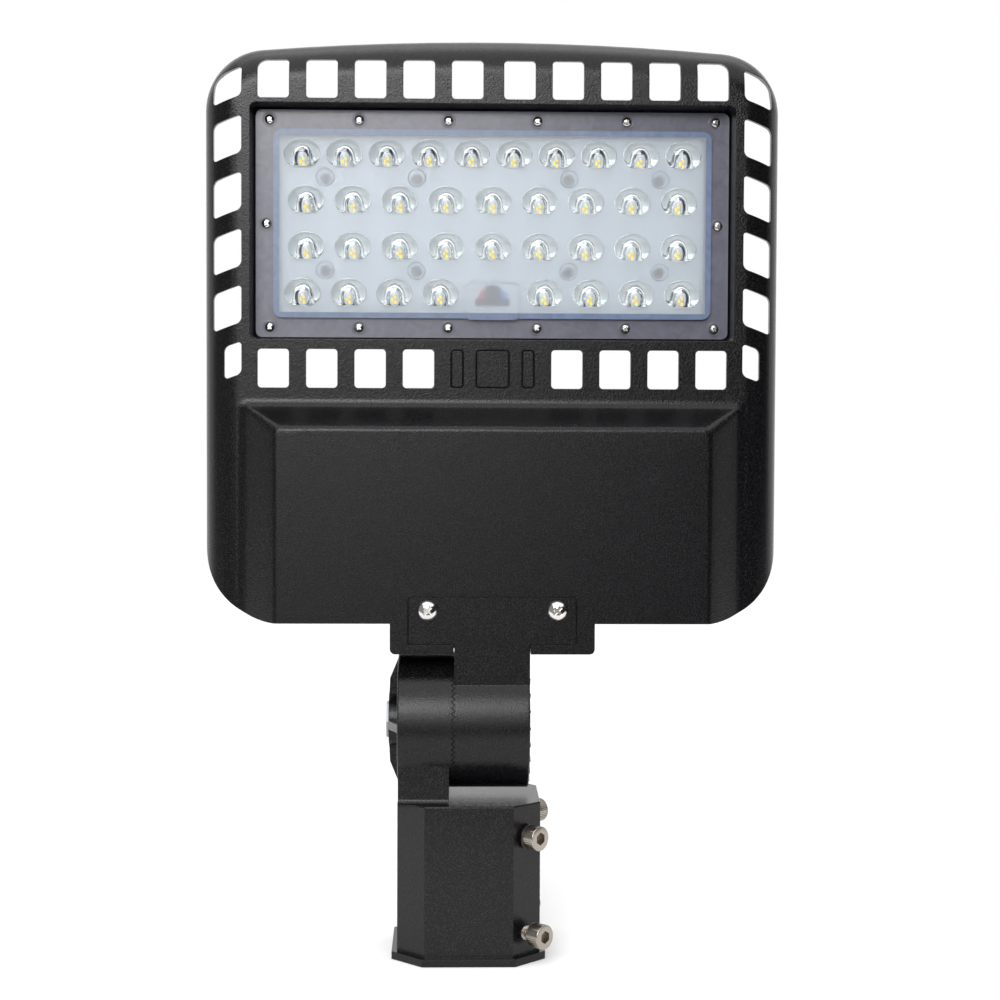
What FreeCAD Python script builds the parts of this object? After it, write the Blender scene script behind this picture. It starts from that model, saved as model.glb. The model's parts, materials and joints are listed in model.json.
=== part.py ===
import FreeCAD, Part
import math
import os

# LED street light: a tilting lamp head on a slip fitter that clamps over a pole tenon.
# Millimetres. The origin is the centre of the socket's mouth, +Z runs up the tenon and the upright
# head, and the light shines towards -Y.

# Pole tenon, and the octagonal socket that slips over it
tenon_radius = 30.15
tenon_clearance = 0.45
socket_half_width = 38.0
socket_corner_cut = 14.7
socket_height = 84.0
socket_roof = 8.0
socket_edge_round = 0.8
flange_height = 4.0
flange_overhang = 2.9

# Clamp screws: M8 socket heads in two rows on the two right-hand corner faces of the socket
clamp_thread_radius = 4.0
clamp_thread_length = 13.2
clamp_head_radius = 6.5
clamp_head_height = 8.0
clamp_head_round = 0.6
clamp_key_across = 6.0
clamp_key_depth = 4.0
clamp_upper_drop = 17.1
clamp_lower_height = 15.4
clamp_front_standoffs = (1.8, 5.4)
clamp_rear_standoffs = (6.5, 0.5)
thread_clearance = 0.05

# Tilt joint: two knuckles with radial teeth, drawn together by the pivot bolt
knuckle_radius = 36.5
knuckle_clearance = 4.0
knuckle_edge_round = 1.0
joint_plane_x = -8.5
tooth_count = 72
tooth_depth = 1.9
tooth_gap = 0.4
tooth_ring_width = 12.5
joint_chamber_depth = 2.5

# Arm of the slip fitter, and the ribs on its outer face
fitter_arm_setback = 6.3
fitter_arm_inset = 2.1
fitter_arm_foot_round = 3.0
fitter_arm_foot_sink = 0.15
fitter_arm_face_step = 0.4
rib_count = 4
rib_thickness = 4.5
rib_height = 5.1
rib_shoulder_drop = 0.5
rib_shoulder_radius = 22.5
rib_edge_margin = 2.8
hub_wall = 3.3

# Pivot bolt M12 with its nut and washers
bolt_radius = 6.0
bolt_hole_clearance = 0.5
bolt_head_across = 18.0
bolt_head_height = 7.5
bolt_head_sink = 1.0
bolt_head_clearance = 0.8
bolt_end_reach = 2.0
nut_height = 10.8
washer_radius = 12.0
washer_thickness = 2.5
lock_washer_radius = 9.5
lock_washer_thickness = 2.5
lock_washer_split = 1.2
counterbore_depth = 20.0
counterbore_clearance = 1.5
seat_gap = 0.1

# Tilt bracket: knuckle, arm and the T plate that is screwed into the housing's neck
bracket_half_width = 20.0
bracket_inset = 0.5
bracket_arm_depth = 26.0
bracket_front_setback = 1.0
bracket_back_flare = 25.0
bracket_wire_radius = 6.0
wire_radius_step = 0.8
tick_count = 24
tick_length = 4.0
tick_width = 0.8
tick_height = 0.35
plate_side_wall = 9.75
plate_height = 24.7
plate_thickness = 8.0
plate_setback = 0.3
plate_corner_radius = 1.5
plate_clearance = 0.35
bracket_gasket_thickness = 1.0
bracket_screw_inset = 10.05
bracket_screw_drop = 6.9
bracket_screw_radius = 3.0
bracket_screw_length = 18.0
bracket_head_radius = 5.4
bracket_head_height = 3.6

# Neck below the housing that takes the bracket
neck_half_width = 54.0
neck_gap = 2.2
neck_height = 16.1
neck_lip = 5.3
neck_corner_radius = 2.8
neck_roof = 4.0
neck_back_wall = 3.0
grommet_radius = 8.0
grommet_bore = 4.5
grommet_lip = 1.6

# Housing: depth stations, outline and walls
frame_front_y = -12.0
driver_bulge = 18.0
rim_y = 4.0
wall = 3.0
roll_radius = 20.0
driver_bay_height = 115.0
vent_band = 34.8
recess_height = 125.0
top_band = 35.3
recess_half_width = 129.0
side_band = 25.0
crown_radius = 1500.0
top_corner_radius = 33.0
bottom_corner_radius = 40.0

# Ramps that lead from the flat frame up to the driver bulge
ramp_margin = 1.5
ramp_side_run = 18.2
ramp_top_run = 12.0
ramp_foot_corner = 2.5
ramp_front_corner = 5.0
ramp_edge_round = 4.0
ramp_foot_round = 9.0
ramp_foot_steps = 6

# Vents through the frame
vent_width = 16.7
vent_height = 20.6
vent_middle_offset = 13.87
vent_end_inset = 12.29
vent_corner_radius = 2.0
vent_end_corner_radius = 5.0
vent_top_strip = 2.4
vent_low_strip = 5.1
vents_per_half = 5
side_vent_strip = 4.5
side_vent_rim = 5.0
side_vent_height = 19.8
side_vent_slant = 5.4
side_vent_foot_gap = 13.8
side_vent_count = 4
side_vent_top_drop = 6.5
side_vent_sharp_radius = 1.6
side_vent_round_radius = 4.0
corner_vent_shrink = 3.8
corner_vent_radius = 9.0
narrow_vent_width = 9.3
narrow_vent_shrink = 2.6

# Blind panel outlines between the lower vents, and a cast knock-out mark on the driver bulge
groove_width = 0.8
groove_depth = 0.6
blind_panel_width = 18.2
blind_slot_width = 7.0
blind_slot_offset = 18.9
knockout_x = 82.5
knockout_height = 84.0
knockout_radius = 7.9
knockout_depth = 0.25
knockout_dot_radius = 1.5

# LED recess, and the stack of pad, board and lens panel in it
recess_depth = 18.0
recess_draft = 1.2
recess_corner_radius = 3.0
lens_gasket_thickness = 1.0
lens_flange_thickness = 3.0
lens_edge_gap = 0.5
lens_corner_radius = 3.5
border_width = 9.6
border_height = 10.4
optic_rise = 2.0
optic_skin = 2.5
optic_wall = 2.0
optic_corner_radius = 5.0
window_half_width = 14.9
window_height = 20.0
window_drop = 0.8
window_rise = 1.0
board_clearance = 1.0
board_thickness = 1.6
pad_thickness = 0.5
pocket_depth = 4.5
floor_thickness = 5.0
tray_wall = 2.0

# Dome lenses in four rows, the LEDs under them, and the board screws between the rows
row_margin = 13.2
top_row_count = 10
top_row_margin = 15.2
middle_row_count = 9
middle_row_margin = 17.4
bottom_row_per_half = 4
bottom_row_margin = 15.4
bottom_row_first = 28.2
dome_half_width = 9.75
dome_half_height = 8.0
dome_height = 5.0
dome_cut = 6.6
cavity_half_width = 4.2
cavity_half_height = 4.7
cavity_height = 5.5
lens_foot_radius = 7.4
lens_foot_gap = 1.0
led_drop = 2.3
led_half_size = 2.5
led_thickness = 0.7
phosphor_radius = 0.85
phosphor_spread = 1.6
phosphor_thickness = 0.1
phosphor_turns = (60, 180, 300)
board_screw_parts = (0.348, 0.765)
board_screw_head_radius = 2.9
board_screw_head_height = 2.0
board_screw_radius = 1.5
board_screw_length = 5.0

# Lens screws round the border
lens_screw_columns = 6
lens_screw_end = 7.5
lens_screw_edge = 5.3
lens_screw_side_edge = 5.8
lens_screw_head_radius = 2.7
lens_screw_head_height = 1.9
lens_screw_radius = 1.25
lens_screw_length = 8.0
lens_screw_hole_clearance = 0.25

# Heat-sink fins behind the LED recess
fin_count = 21
fin_thickness = 2.4
fin_height = 12.5

# Duct for the LED leads, their connector and their hole
duct_half_width = 9.5
duct_wall = 3.0
duct_front_wall = 3.0
lead_hole_height = 4.2
lead_hole_rise = 4.2
lead_radius = 1.1
lead_x = 6.2
lead_start_y = -4.0
lead_bend_share = 0.45
connector_half_width = 3.6
connector_height = 6.5
connector_depth = 4.4
connector_grip = 1.2

# Driver, mains terminal block and earth screw in the bay
driver_end_gap = 3.7
driver_height = 66.0
driver_depth = 38.0
driver_post_height = 3.0
driver_bay_gap = 24.0
driver_ear_length = 11.0
driver_ear_thickness = 2.0
driver_edge_round = 2.0
driver_screw_radius = 2.0
driver_screw_head_radius = 3.6
driver_screw_head_height = 2.6
driver_screw_length = 6.0
driver_screw_levels = (0.25, 0.75)
driver_post_radius = 5.0
terminal_half_length = 15.0
terminal_depth = 16.0
terminal_height = 12.0
terminal_inset = 12.0
terminal_gap = 6.0
terminal_hole_radius = 2.4

# Rear cover over the driver bay
rear_gasket_thickness = 1.0
rear_flange_thickness = 3.0
rear_cover_depth = 22.0
rear_cover_inset = 20.0
rear_cover_skin = 2.5
rear_cover_corner = 10.0
rear_cover_round = 5.0
rear_boss_radius = 4.5
rear_boss_low_inset = 7.0
rear_boss_side_inset = 12.0
rear_boss_depth = 11.0
rear_screw_radius = 2.0
rear_screw_head_radius = 3.8
rear_screw_head_height = 2.6
rear_screw_length = 9.0
rear_screw_x = 70.0
rear_screw_side_low = 48.0
rear_screw_side_high = 104.0
blind_end = 1.0
overlap = 1.0

# Form of every pan head, as parts of its radius or height
pan_rim_part = 0.3
pan_shoulder_radius_part = 0.72
pan_shoulder_height_part = 0.83
cross_length_part = 0.52
cross_width_part = 0.13
cross_depth_part = 0.55

# Places worked out from the sizes above
bore_radius = tenon_radius + tenon_clearance
clamp_upper_height = socket_height - clamp_upper_drop
plate_half_width = neck_half_width - plate_side_wall
bracket_screw_x = plate_half_width - bracket_screw_inset
pivot_height = socket_height + knuckle_radius + knuckle_clearance
tooth_ring_inner = knuckle_radius - tooth_ring_width
fitter_left_x = -socket_half_width
fitter_arm_right_x = joint_plane_x - fitter_arm_inset
bracket_left_x = joint_plane_x + bracket_inset
head_x = bracket_left_x + bracket_half_width
bracket_right_x = head_x + bracket_half_width
counterbore_floor_x = bracket_right_x - counterbore_depth
neck_bottom = pivot_height + knuckle_radius + neck_gap
housing_bottom = neck_bottom + neck_height
ramp_foot_z = housing_bottom + driver_bay_height
recess_bottom = ramp_foot_z + vent_band
recess_top = recess_bottom + recess_height
housing_top = recess_top + top_band
recess_center_z = (recess_bottom + recess_top) / 2
housing_half_width = recess_half_width + side_band
vent_pitch = (recess_half_width - vent_end_inset - vent_middle_offset) / (vents_per_half - 1)
side_vent_run = recess_height + vent_band - side_vent_foot_gap - side_vent_top_drop - side_vent_height
side_vent_pitch = side_vent_run / side_vent_count
driver_front_y = frame_front_y - driver_bulge
bracket_front_y = driver_front_y + bracket_front_setback
bracket_back_y = bracket_front_y + bracket_arm_depth
plate_bottom = neck_bottom + neck_lip
plate_top = plate_bottom + plate_height
plate_front_y = driver_front_y + plate_setback
plate_back_y = plate_front_y + plate_thickness
bracket_screw_z = plate_top - bracket_screw_drop
neck_back_y = bracket_back_y + plate_clearance + neck_back_wall
roll_depth = min(rim_y - frame_front_y, roll_radius)
roll_spread = roll_radius - math.sqrt(roll_radius ** 2 - (roll_radius - roll_depth) ** 2)
ramp_foot_half = housing_half_width + roll_spread - roll_radius - ramp_margin
seat_y = frame_front_y + recess_depth
lens_back_y = seat_y - lens_gasket_thickness
lens_front_y = lens_back_y - lens_flange_thickness
optic_front_y = lens_front_y - optic_rise
optic_back_y = optic_front_y + optic_skin
lens_half_width = recess_half_width - recess_draft - lens_edge_gap
lens_half_height = recess_height / 2 - recess_draft - lens_edge_gap
optic_half_width = lens_half_width - border_width
optic_half_height = lens_half_height - border_height
row_pitch = (optic_half_height - row_margin) / 1.5
top_row_pitch = 2 * (optic_half_width - top_row_margin) / (top_row_count - 1)
middle_row_pitch = 2 * (optic_half_width - middle_row_margin) / (middle_row_count - 1)
bottom_row_pitch = (optic_half_width - bottom_row_margin - bottom_row_first) / (bottom_row_per_half - 1)
board_screw_x = [optic_half_width * part for part in board_screw_parts]
lens_screw_pitch = 2 * (lens_half_width - lens_screw_end) / (lens_screw_columns - 1)
lens_screw_half_height = lens_half_height - lens_screw_edge
lens_screw_side_x = lens_half_width - lens_screw_side_edge
pocket_floor_y = seat_y + pocket_depth
board_back_y = pocket_floor_y - pad_thickness
board_front_y = board_back_y - board_thickness
led_front_y = board_front_y - led_thickness
tray_back_y = pocket_floor_y + floor_thickness
fin_back_y = tray_back_y + fin_height
optic_inner_half_width = optic_half_width - optic_wall
optic_inner_half_height = optic_half_height - optic_wall
board_half_width = optic_inner_half_width - board_clearance
board_half_height = optic_inner_half_height - board_clearance
duct_back_y = tray_back_y
driver_bay_front_y = driver_front_y + wall
driver_front_face_y = driver_bay_front_y + driver_post_height
driver_half_length = ramp_foot_half - ramp_side_run - driver_ear_length - driver_end_gap
terminal_x = terminal_inset - driver_half_length
earth_screw_x = driver_half_length - terminal_inset
driver_bottom_z = housing_bottom + wall + driver_bay_gap
driver_top_z = driver_bottom_z + driver_height
rear_flange_y = rim_y + rear_gasket_thickness
bay_top_z = ramp_foot_z + wall
duct_low_z = bay_top_z + plate_clearance
duct_floor_z = duct_low_z + duct_wall


def vec(x, y, z):
    return FreeCAD.Vector(x, y, z)


def box(x0, x1, y0, y1, z0, z1):
    return Part.makeBox(x1 - x0, y1 - y0, z1 - z0, vec(x0, y0, z0))


def head_box(half_width, y0, y1, z0, z1):
    """Box centred on the head's middle plane."""
    return box(head_x - half_width, head_x + half_width, y0, y1, z0, z1)


def cylinder(radius, start, direction, length):
    return Part.makeCylinder(radius, length, start, direction)


def rounded_wire(corners, y):
    """Closed wire in the plane at y through (x, z, radius) corners, each rounded by a tangent arc."""
    spans = []
    count = len(corners)
    for index in range(count):
        x, z, radius = corners[index]
        here = vec(x, y, z)
        before = vec(corners[index - 1][0], y, corners[index - 1][1]) - here
        after = vec(corners[(index + 1) % count][0], y, corners[(index + 1) % count][1]) - here
        before.normalize()
        after.normalize()
        half_angle = before.getAngle(after) / 2
        if radius <= 0:
            spans.append((here, None, here))
            continue
        reach = radius / math.tan(half_angle)
        middle = before + after
        middle.normalize()
        depth = radius / math.sin(half_angle) - radius
        spans.append((here + before * reach, here + middle * depth, here + after * reach))
    edges = []
    for index in range(count):
        start, middle, end = spans[index]
        if middle is not None:
            edges.append(Part.Arc(start, middle, end).toShape())
        following = spans[(index + 1) % count][0]
        if end.distanceToPoint(following) > 1e-6:
            edges.append(Part.LineSegment(end, following).toShape())
    return Part.Wire(edges)


def prism(wire, y_end):
    """Solid from a wire in a plane across Y, drawn out to y_end."""
    y_start = wire.BoundBox.YMin
    return Part.Face(wire).extrude(vec(0, y_end - y_start, 0))


def rectangle(half_width, z0, z1, radius, y):
    corners = [(-half_width, z0), (half_width, z0), (half_width, z1), (-half_width, z1)]
    return rounded_wire([(head_x + x, z, radius) for x, z in corners], y)


def plate(half_width, z0, z1, radius, y0, y1):
    return prism(rectangle(half_width, z0, z1, radius, y0), y1)


def front_edges(shape, y, skip_z):
    """Edges of a shape that lie in the plane at y, apart from those along skip_z."""
    found = []
    for edge in shape.Edges:
        limits = edge.BoundBox
        in_plane = abs(limits.YMin - y) < 1e-4 and abs(limits.YMax - y) < 1e-4
        on_skip = abs(limits.ZMax - skip_z) < 1e-3
        if in_plane and not on_skip:
            found.append(edge)
    return found


def hexagon(across, start, direction, length):
    """Hexagonal bar, its flats square to the turned X axis."""
    corner_radius = across / math.sqrt(3)
    points = []
    for index in range(7):
        angle = math.radians(30 + 60 * index)
        points.append(vec(corner_radius * math.cos(angle), corner_radius * math.sin(angle), 0))
    bar = Part.Face(Part.makePolygon(points)).extrude(vec(0, 0, length))
    bar.Placement = FreeCAD.Placement(start, FreeCAD.Rotation(vec(0, 0, 1), direction))
    return bar


def pan_screws(places, outward, head_radius, head_height, shank_radius, shank_length):
    """Cross-recessed pan-head screws seated at the places, with their heads on the outward side."""
    rim = head_height * pan_rim_part
    middle = vec(head_radius * pan_shoulder_radius_part, 0, head_height * pan_shoulder_height_part)
    profile = Part.Wire([
        Part.LineSegment(vec(0, 0, 0), vec(head_radius, 0, 0)).toShape(),
        Part.LineSegment(vec(head_radius, 0, 0), vec(head_radius, 0, rim)).toShape(),
        Part.Arc(vec(head_radius, 0, rim), middle, vec(0, 0, head_height)).toShape(),
        Part.LineSegment(vec(0, 0, head_height), vec(0, 0, 0)).toShape(),
    ])
    screw = Part.Face(profile).revolve(vec(0, 0, 0), vec(0, 0, 1), 360)
    slot_length = head_radius * cross_length_part
    slot_width = head_radius * cross_width_part
    slot_floor = head_height * (1 - cross_depth_part)
    slot_end = head_height + overlap
    cross = box(-slot_length, slot_length, -slot_width, slot_width, slot_floor, slot_end)
    cross = cross.fuse(box(-slot_width, slot_width, -slot_length, slot_length, slot_floor, slot_end))
    cross.rotate(vec(0, 0, 0), vec(0, 0, 1), 45)
    screw = screw.cut(cross)
    shank = cylinder(shank_radius, vec(0, 0, -shank_length), vec(0, 0, 1), shank_length + overlap / 2)
    screw = screw.fuse(shank)
    screws = []
    for place in places:
        copy = screw.copy()
        copy.Placement = FreeCAD.Placement(place, FreeCAD.Rotation(vec(0, 0, 1), outward))
        screws.append(copy)
    return Part.makeCompound(screws)


def octagon(grow, z0, z1):
    """Eight-sided socket body, every face moved outwards by grow."""
    half = socket_half_width + grow
    flat = half - socket_corner_cut - grow * (2 - math.sqrt(2))
    points = []
    for x, y in ((1, 0), (0, 1), (-1, 0), (0, -1)):
        points.append(vec(half * x + flat * y, half * y - flat * x, z0))
        points.append(vec(half * x - flat * y, half * y + flat * x, z0))
    points.append(points[0])
    return Part.Face(Part.makePolygon(points)).extrude(vec(0, 0, z1 - z0))


def tooth_cutter(plane_x, side):
    """Ring with a radial tooth form on one face, for cutting what lies on that side of the form."""
    inner = tooth_ring_inner - overlap
    outer = knuckle_radius + overlap
    far_x = plane_x + side * (tooth_depth + overlap)
    steps = 2 * tooth_count
    rows = []
    for index in range(steps):
        angle = math.pi * index / tooth_count
        lift = tooth_depth / 2 if index % 2 == 0 else -tooth_depth / 2
        row = []
        for radius, on_form in ((inner, True), (outer, True), (outer, False), (inner, False)):
            x = plane_x + lift * radius / knuckle_radius if on_form else far_x
            row.append(vec(x, radius * math.sin(angle), pivot_height + radius * math.cos(angle)))
        rows.append(row)
    faces = []
    for index in range(steps):
        here = rows[index]
        following = rows[(index + 1) % steps]
        for corner in range(4):
            ahead = (corner + 1) % 4
            loop = [here[corner], here[ahead], following[ahead], following[corner], here[corner]]
            faces.append(Part.Face(Part.makePolygon(loop)))
    cutter = Part.makeSolid(Part.makeShell(faces))
    if cutter.Volume < 0:
        cutter.reverse()
    return cutter


def clamp_places():
    """Name, outward direction, height and stand-off of each clamp screw."""
    diagonal = math.sqrt(0.5)
    places = []
    for side, sign, standoffs in (("front", -1, clamp_front_standoffs), ("rear", 1, clamp_rear_standoffs)):
        outward = vec(diagonal, sign * diagonal, 0)
        places.append((side + "_upper", outward, clamp_upper_height, standoffs[0]))
        places.append((side + "_lower", outward, clamp_lower_height, standoffs[1]))
    return places


def corner_face_distance():
    """Distance from the tenon axis to the socket's corner faces."""
    return (2 * socket_half_width - socket_corner_cut) * math.sqrt(0.5)


def clamp_screw(outward, height, standoff):
    seat = outward * (corner_face_distance() + standoff) + vec(0, 0, height)
    head = cylinder(clamp_head_radius, seat, outward, clamp_head_height)
    rims = []
    for edge in head.Edges:
        if edge.Closed and edge.CenterOfMass.distanceToPoint(seat) > clamp_head_height / 2:
            rims.append(edge)
    head = head.makeFillet(clamp_head_round, rims)
    key_start = seat + outward * (clamp_head_height - clamp_key_depth)
    head = head.cut(hexagon(clamp_key_across, key_start, outward, clamp_key_depth + overlap))
    tip = seat - outward * clamp_thread_length
    return head.fuse(cylinder(clamp_thread_radius, tip, outward, clamp_thread_length + overlap))


def rib_ring():
    """Radial ribs and hub that stand proud of the slip fitter's outer face round the bolt head."""
    hub_inner = bolt_head_across / math.sqrt(3) + bolt_head_clearance
    hub_outer = hub_inner + hub_wall
    foot = knuckle_radius - rib_edge_margin
    face_x = fitter_left_x
    start = vec(face_x + overlap, 0, pivot_height)
    ring = cylinder(hub_outer, start, vec(-1, 0, 0), rib_height + overlap)
    profile = [
        (face_x + overlap, 0),
        (face_x + overlap, foot),
        (face_x, foot),
        (face_x - rib_height + rib_shoulder_drop, rib_shoulder_radius),
        (face_x - rib_height, hub_inner),
        (face_x - rib_height, 0),
        (face_x + overlap, 0),
    ]
    for index in range(rib_count):
        points = [vec(x, -rib_thickness / 2, pivot_height + z) for x, z in profile]
        rib = Part.Face(Part.makePolygon(points)).extrude(vec(0, rib_thickness, 0))
        rib.rotate(vec(0, 0, pivot_height), vec(1, 0, 0), 360.0 * index / rib_count)
        ring = ring.fuse(rib)
    return ring, hub_inner


def fitter_arm():
    """Arm from the socket's top to the pivot, its foot flared out by hollow arcs."""
    radius = fitter_arm_foot_round
    near = knuckle_radius - fitter_arm_setback
    far = near + radius
    low = socket_height - overlap
    foot = socket_height - fitter_arm_foot_sink
    bend = far - radius * math.sqrt(0.5), foot + radius - radius * math.sqrt(0.5)
    x = fitter_left_x + fitter_arm_face_step

    def place(y, z):
        return vec(x, y, z)

    edges = [
        Part.LineSegment(place(-far, low), place(-far, foot)),
        Part.Arc(place(-far, foot), place(-bend[0], bend[1]), place(-near, foot + radius)),
        Part.LineSegment(place(-near, foot + radius), place(-near, pivot_height)),
        Part.LineSegment(place(-near, pivot_height), place(near, pivot_height)),
        Part.LineSegment(place(near, pivot_height), place(near, foot + radius)),
        Part.Arc(place(near, foot + radius), place(bend[0], bend[1]), place(far, foot)),
        Part.LineSegment(place(far, foot), place(far, low)),
        Part.LineSegment(place(far, low), place(-far, low)),
    ]
    outline = Part.Wire([edge.toShape() for edge in edges])
    return Part.Face(outline).extrude(vec(fitter_arm_right_x - x, 0, 0))


def slip_fitter():
    """Socket, flange, arm and toothed knuckle in one casting."""
    socket = octagon(0, 0, socket_height)
    rims = [edge for edge in socket.Edges if edge.BoundBox.ZMin > socket_height - 1e-4]
    socket = socket.makeFillet(socket_edge_round, rims)
    body = socket.fuse(octagon(flange_overhang, 0, flange_height))
    body = body.fuse(fitter_arm())
    face_x = joint_plane_x - tooth_gap / 2
    length = face_x + tooth_depth / 2 - fitter_left_x
    knuckle = cylinder(knuckle_radius, vec(fitter_left_x, 0, pivot_height), vec(1, 0, 0), length)
    rim = [edge for edge in knuckle.Edges if edge.Closed and edge.BoundBox.XMax < fitter_left_x + 1e-4]
    knuckle = knuckle.makeFillet(knuckle_edge_round, rim)
    body = body.fuse(knuckle.cut(tooth_cutter(face_x, 1)))
    chamber_x = face_x - joint_chamber_depth
    center = vec(chamber_x, 0, pivot_height)
    body = body.cut(cylinder(tooth_ring_inner, center, vec(1, 0, 0), joint_chamber_depth + tooth_depth))
    ribs, hub_inner = rib_ring()
    body = body.fuse(ribs)
    sink_start = vec(fitter_left_x + bolt_head_sink, 0, pivot_height)
    body = body.cut(cylinder(hub_inner, sink_start, vec(-1, 0, 0), bolt_head_sink + rib_height + overlap))
    hole_radius = bolt_radius + bolt_hole_clearance
    body = body.cut(cylinder(hole_radius, sink_start, vec(1, 0, 0), socket_half_width * 2))
    bore_depth = socket_height - socket_roof
    body = body.cut(cylinder(bore_radius, vec(0, 0, -overlap), vec(0, 0, 1), bore_depth + overlap))
    passage_x = (fitter_left_x + fitter_arm_right_x) / 2
    passage_top = pivot_height - (hole_radius + tooth_ring_inner) / 2
    passage_start = vec(passage_x, 0, bore_depth - overlap)
    rise = cylinder(bracket_wire_radius, passage_start, vec(0, 0, 1), passage_top - bore_depth + overlap)
    across_radius = bracket_wire_radius - wire_radius_step
    across = cylinder(across_radius, vec(passage_x, 0, passage_top), vec(1, 0, 0), socket_half_width)
    body = body.cut(rise.fuse(across))
    for _, outward, height, _ in clamp_places():
        start = outward * (bore_radius - overlap * 2) + vec(0, 0, height)
        body = body.cut(cylinder(clamp_thread_radius + thread_clearance, start, outward, socket_half_width))
    return body


def pivot_bolt():
    seat_x = fitter_left_x + bolt_head_sink
    center = vec(seat_x, 0, pivot_height)
    head = hexagon(bolt_head_across, center, vec(-1, 0, 0), bolt_head_height)
    end_x = washer_x() + washer_thickness + lock_washer_thickness + nut_height + bolt_end_reach
    shank_start = center - vec(overlap, 0, 0)
    return head.fuse(cylinder(bolt_radius, shank_start, vec(1, 0, 0), end_x - seat_x + overlap))


def washer_x():
    """Left face of the flat washer on the counterbore's floor."""
    return counterbore_floor_x + seat_gap


def ring_on_bolt(x, outer_radius, thickness):
    outer = cylinder(outer_radius, vec(x, 0, pivot_height), vec(1, 0, 0), thickness)
    bore = cylinder(bolt_radius + thread_clearance, vec(x, 0, pivot_height), vec(1, 0, 0), thickness)
    return outer.cut(bore)


def pivot_washer():
    return ring_on_bolt(washer_x(), washer_radius, washer_thickness)


def pivot_lock_washer():
    x = washer_x() + washer_thickness
    ring = ring_on_bolt(x, lock_washer_radius, lock_washer_thickness)
    half = lock_washer_split / 2
    slot_top = pivot_height + washer_radius
    return ring.cut(box(x, x + lock_washer_thickness, -half, half, pivot_height, slot_top))


def pivot_nut():
    x = washer_x() + washer_thickness + lock_washer_thickness
    nut = hexagon(bolt_head_across, vec(x, 0, pivot_height), vec(1, 0, 0), nut_height)
    bore = cylinder(bolt_radius + thread_clearance, vec(x, 0, pivot_height), vec(1, 0, 0), nut_height)
    return nut.cut(bore)


def tilt_bracket():
    """Toothed knuckle, arm and T plate in one casting."""
    face_x = joint_plane_x + tooth_gap / 2
    start_x = face_x - tooth_depth / 2
    axis = vec(1, 0, 0)
    body = cylinder(knuckle_radius, vec(start_x, 0, pivot_height), axis, bracket_right_x - start_x)
    rim = [edge for edge in body.Edges if edge.Closed and edge.BoundBox.XMin > bracket_right_x - 1e-4]
    body = body.makeFillet(knuckle_edge_round, rim)
    body = body.cut(tooth_cutter(face_x, -1))
    chamber_start = vec(start_x - overlap, 0, pivot_height)
    chamber_length = face_x + joint_chamber_depth - start_x + overlap
    chamber = cylinder(tooth_ring_inner, chamber_start, axis, chamber_length)
    body = body.cut(chamber)
    flare_z = pivot_height + math.sqrt(knuckle_radius ** 2 - bracket_back_flare ** 2) - overlap
    profile = [
        (bracket_front_y, pivot_height),
        (bracket_front_y, plate_top),
        (bracket_back_y, plate_top),
        (bracket_back_y, neck_bottom - neck_gap / 2),
        (bracket_back_flare, flare_z),
        (bracket_back_flare, pivot_height),
        (bracket_front_y, pivot_height),
    ]
    outline = Part.makePolygon([vec(bracket_left_x, y, z) for y, z in profile])
    arm = Part.Face(outline).extrude(vec(2 * bracket_half_width, 0, 0))
    tooth_room = face_x + tooth_depth - chamber_start.x
    ring_room = cylinder(knuckle_radius + plate_clearance, chamber_start, axis, tooth_room)
    body = body.fuse(arm.cut([chamber, ring_room]))
    body = body.fuse(plate(plate_half_width, plate_bottom, plate_top, plate_corner_radius,
                           plate_front_y, plate_back_y))
    body = body.cut(cylinder(bolt_radius + bolt_hole_clearance, chamber_start, axis, 4 * bracket_half_width))
    pocket_radius = washer_radius + counterbore_clearance
    pocket_start = vec(counterbore_floor_x, 0, pivot_height)
    body = body.cut(cylinder(pocket_radius, pocket_start, axis, counterbore_depth + overlap))
    wire_y = (bracket_front_y + bracket_back_y) / 2
    wire_z = pivot_height + pocket_radius + wall + bracket_wire_radius
    body = body.cut(cylinder(bracket_wire_radius, vec(head_x, wire_y, wire_z), vec(0, 0, 1), neck_height * 4))
    wire_across = vec(chamber_start.x, wire_y, wire_z)
    across_radius = bracket_wire_radius - wire_radius_step
    body = body.cut(cylinder(across_radius, wire_across, axis, head_x - chamber_start.x))
    for place in bracket_screw_places(plate_front_y):
        hole = bracket_screw_radius + plate_clearance
        body = body.cut(cylinder(hole, place, vec(0, 1, 0), plate_thickness))
    ticks = []
    for index in range(tick_count):
        outer = pivot_height + knuckle_radius - knuckle_edge_round
        tick = box(bracket_right_x - overlap, bracket_right_x + tick_height, -tick_width / 2, tick_width / 2,
                   outer - tick_length, outer)
        tick.rotate(vec(0, 0, pivot_height), axis, 360.0 * index / tick_count)
        ticks.append(tick)
    return body.multiFuse(ticks)


def bracket_screw_places(y):
    return [vec(head_x + side * bracket_screw_x, y, bracket_screw_z) for side in (-1, 1)]


def bracket_screws():
    return pan_screws(bracket_screw_places(plate_front_y), vec(0, -1, 0), bracket_head_radius,
                      bracket_head_height, bracket_screw_radius, bracket_screw_length)


def bracket_gasket():
    y0 = plate_back_y
    y1 = plate_back_y + bracket_gasket_thickness
    pad = plate(plate_half_width, plate_bottom, plate_top, plate_corner_radius, y0, y1)
    slot = bracket_half_width + plate_clearance
    pad = pad.cut(head_box(slot, y0, y1, plate_bottom - overlap, plate_top + overlap))
    for place in bracket_screw_places(y0):
        hole = bracket_screw_radius + plate_clearance
        pad = pad.cut(cylinder(hole, place, vec(0, 1, 0), bracket_gasket_thickness))
    return Part.makeCompound(pad.Solids)


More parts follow.
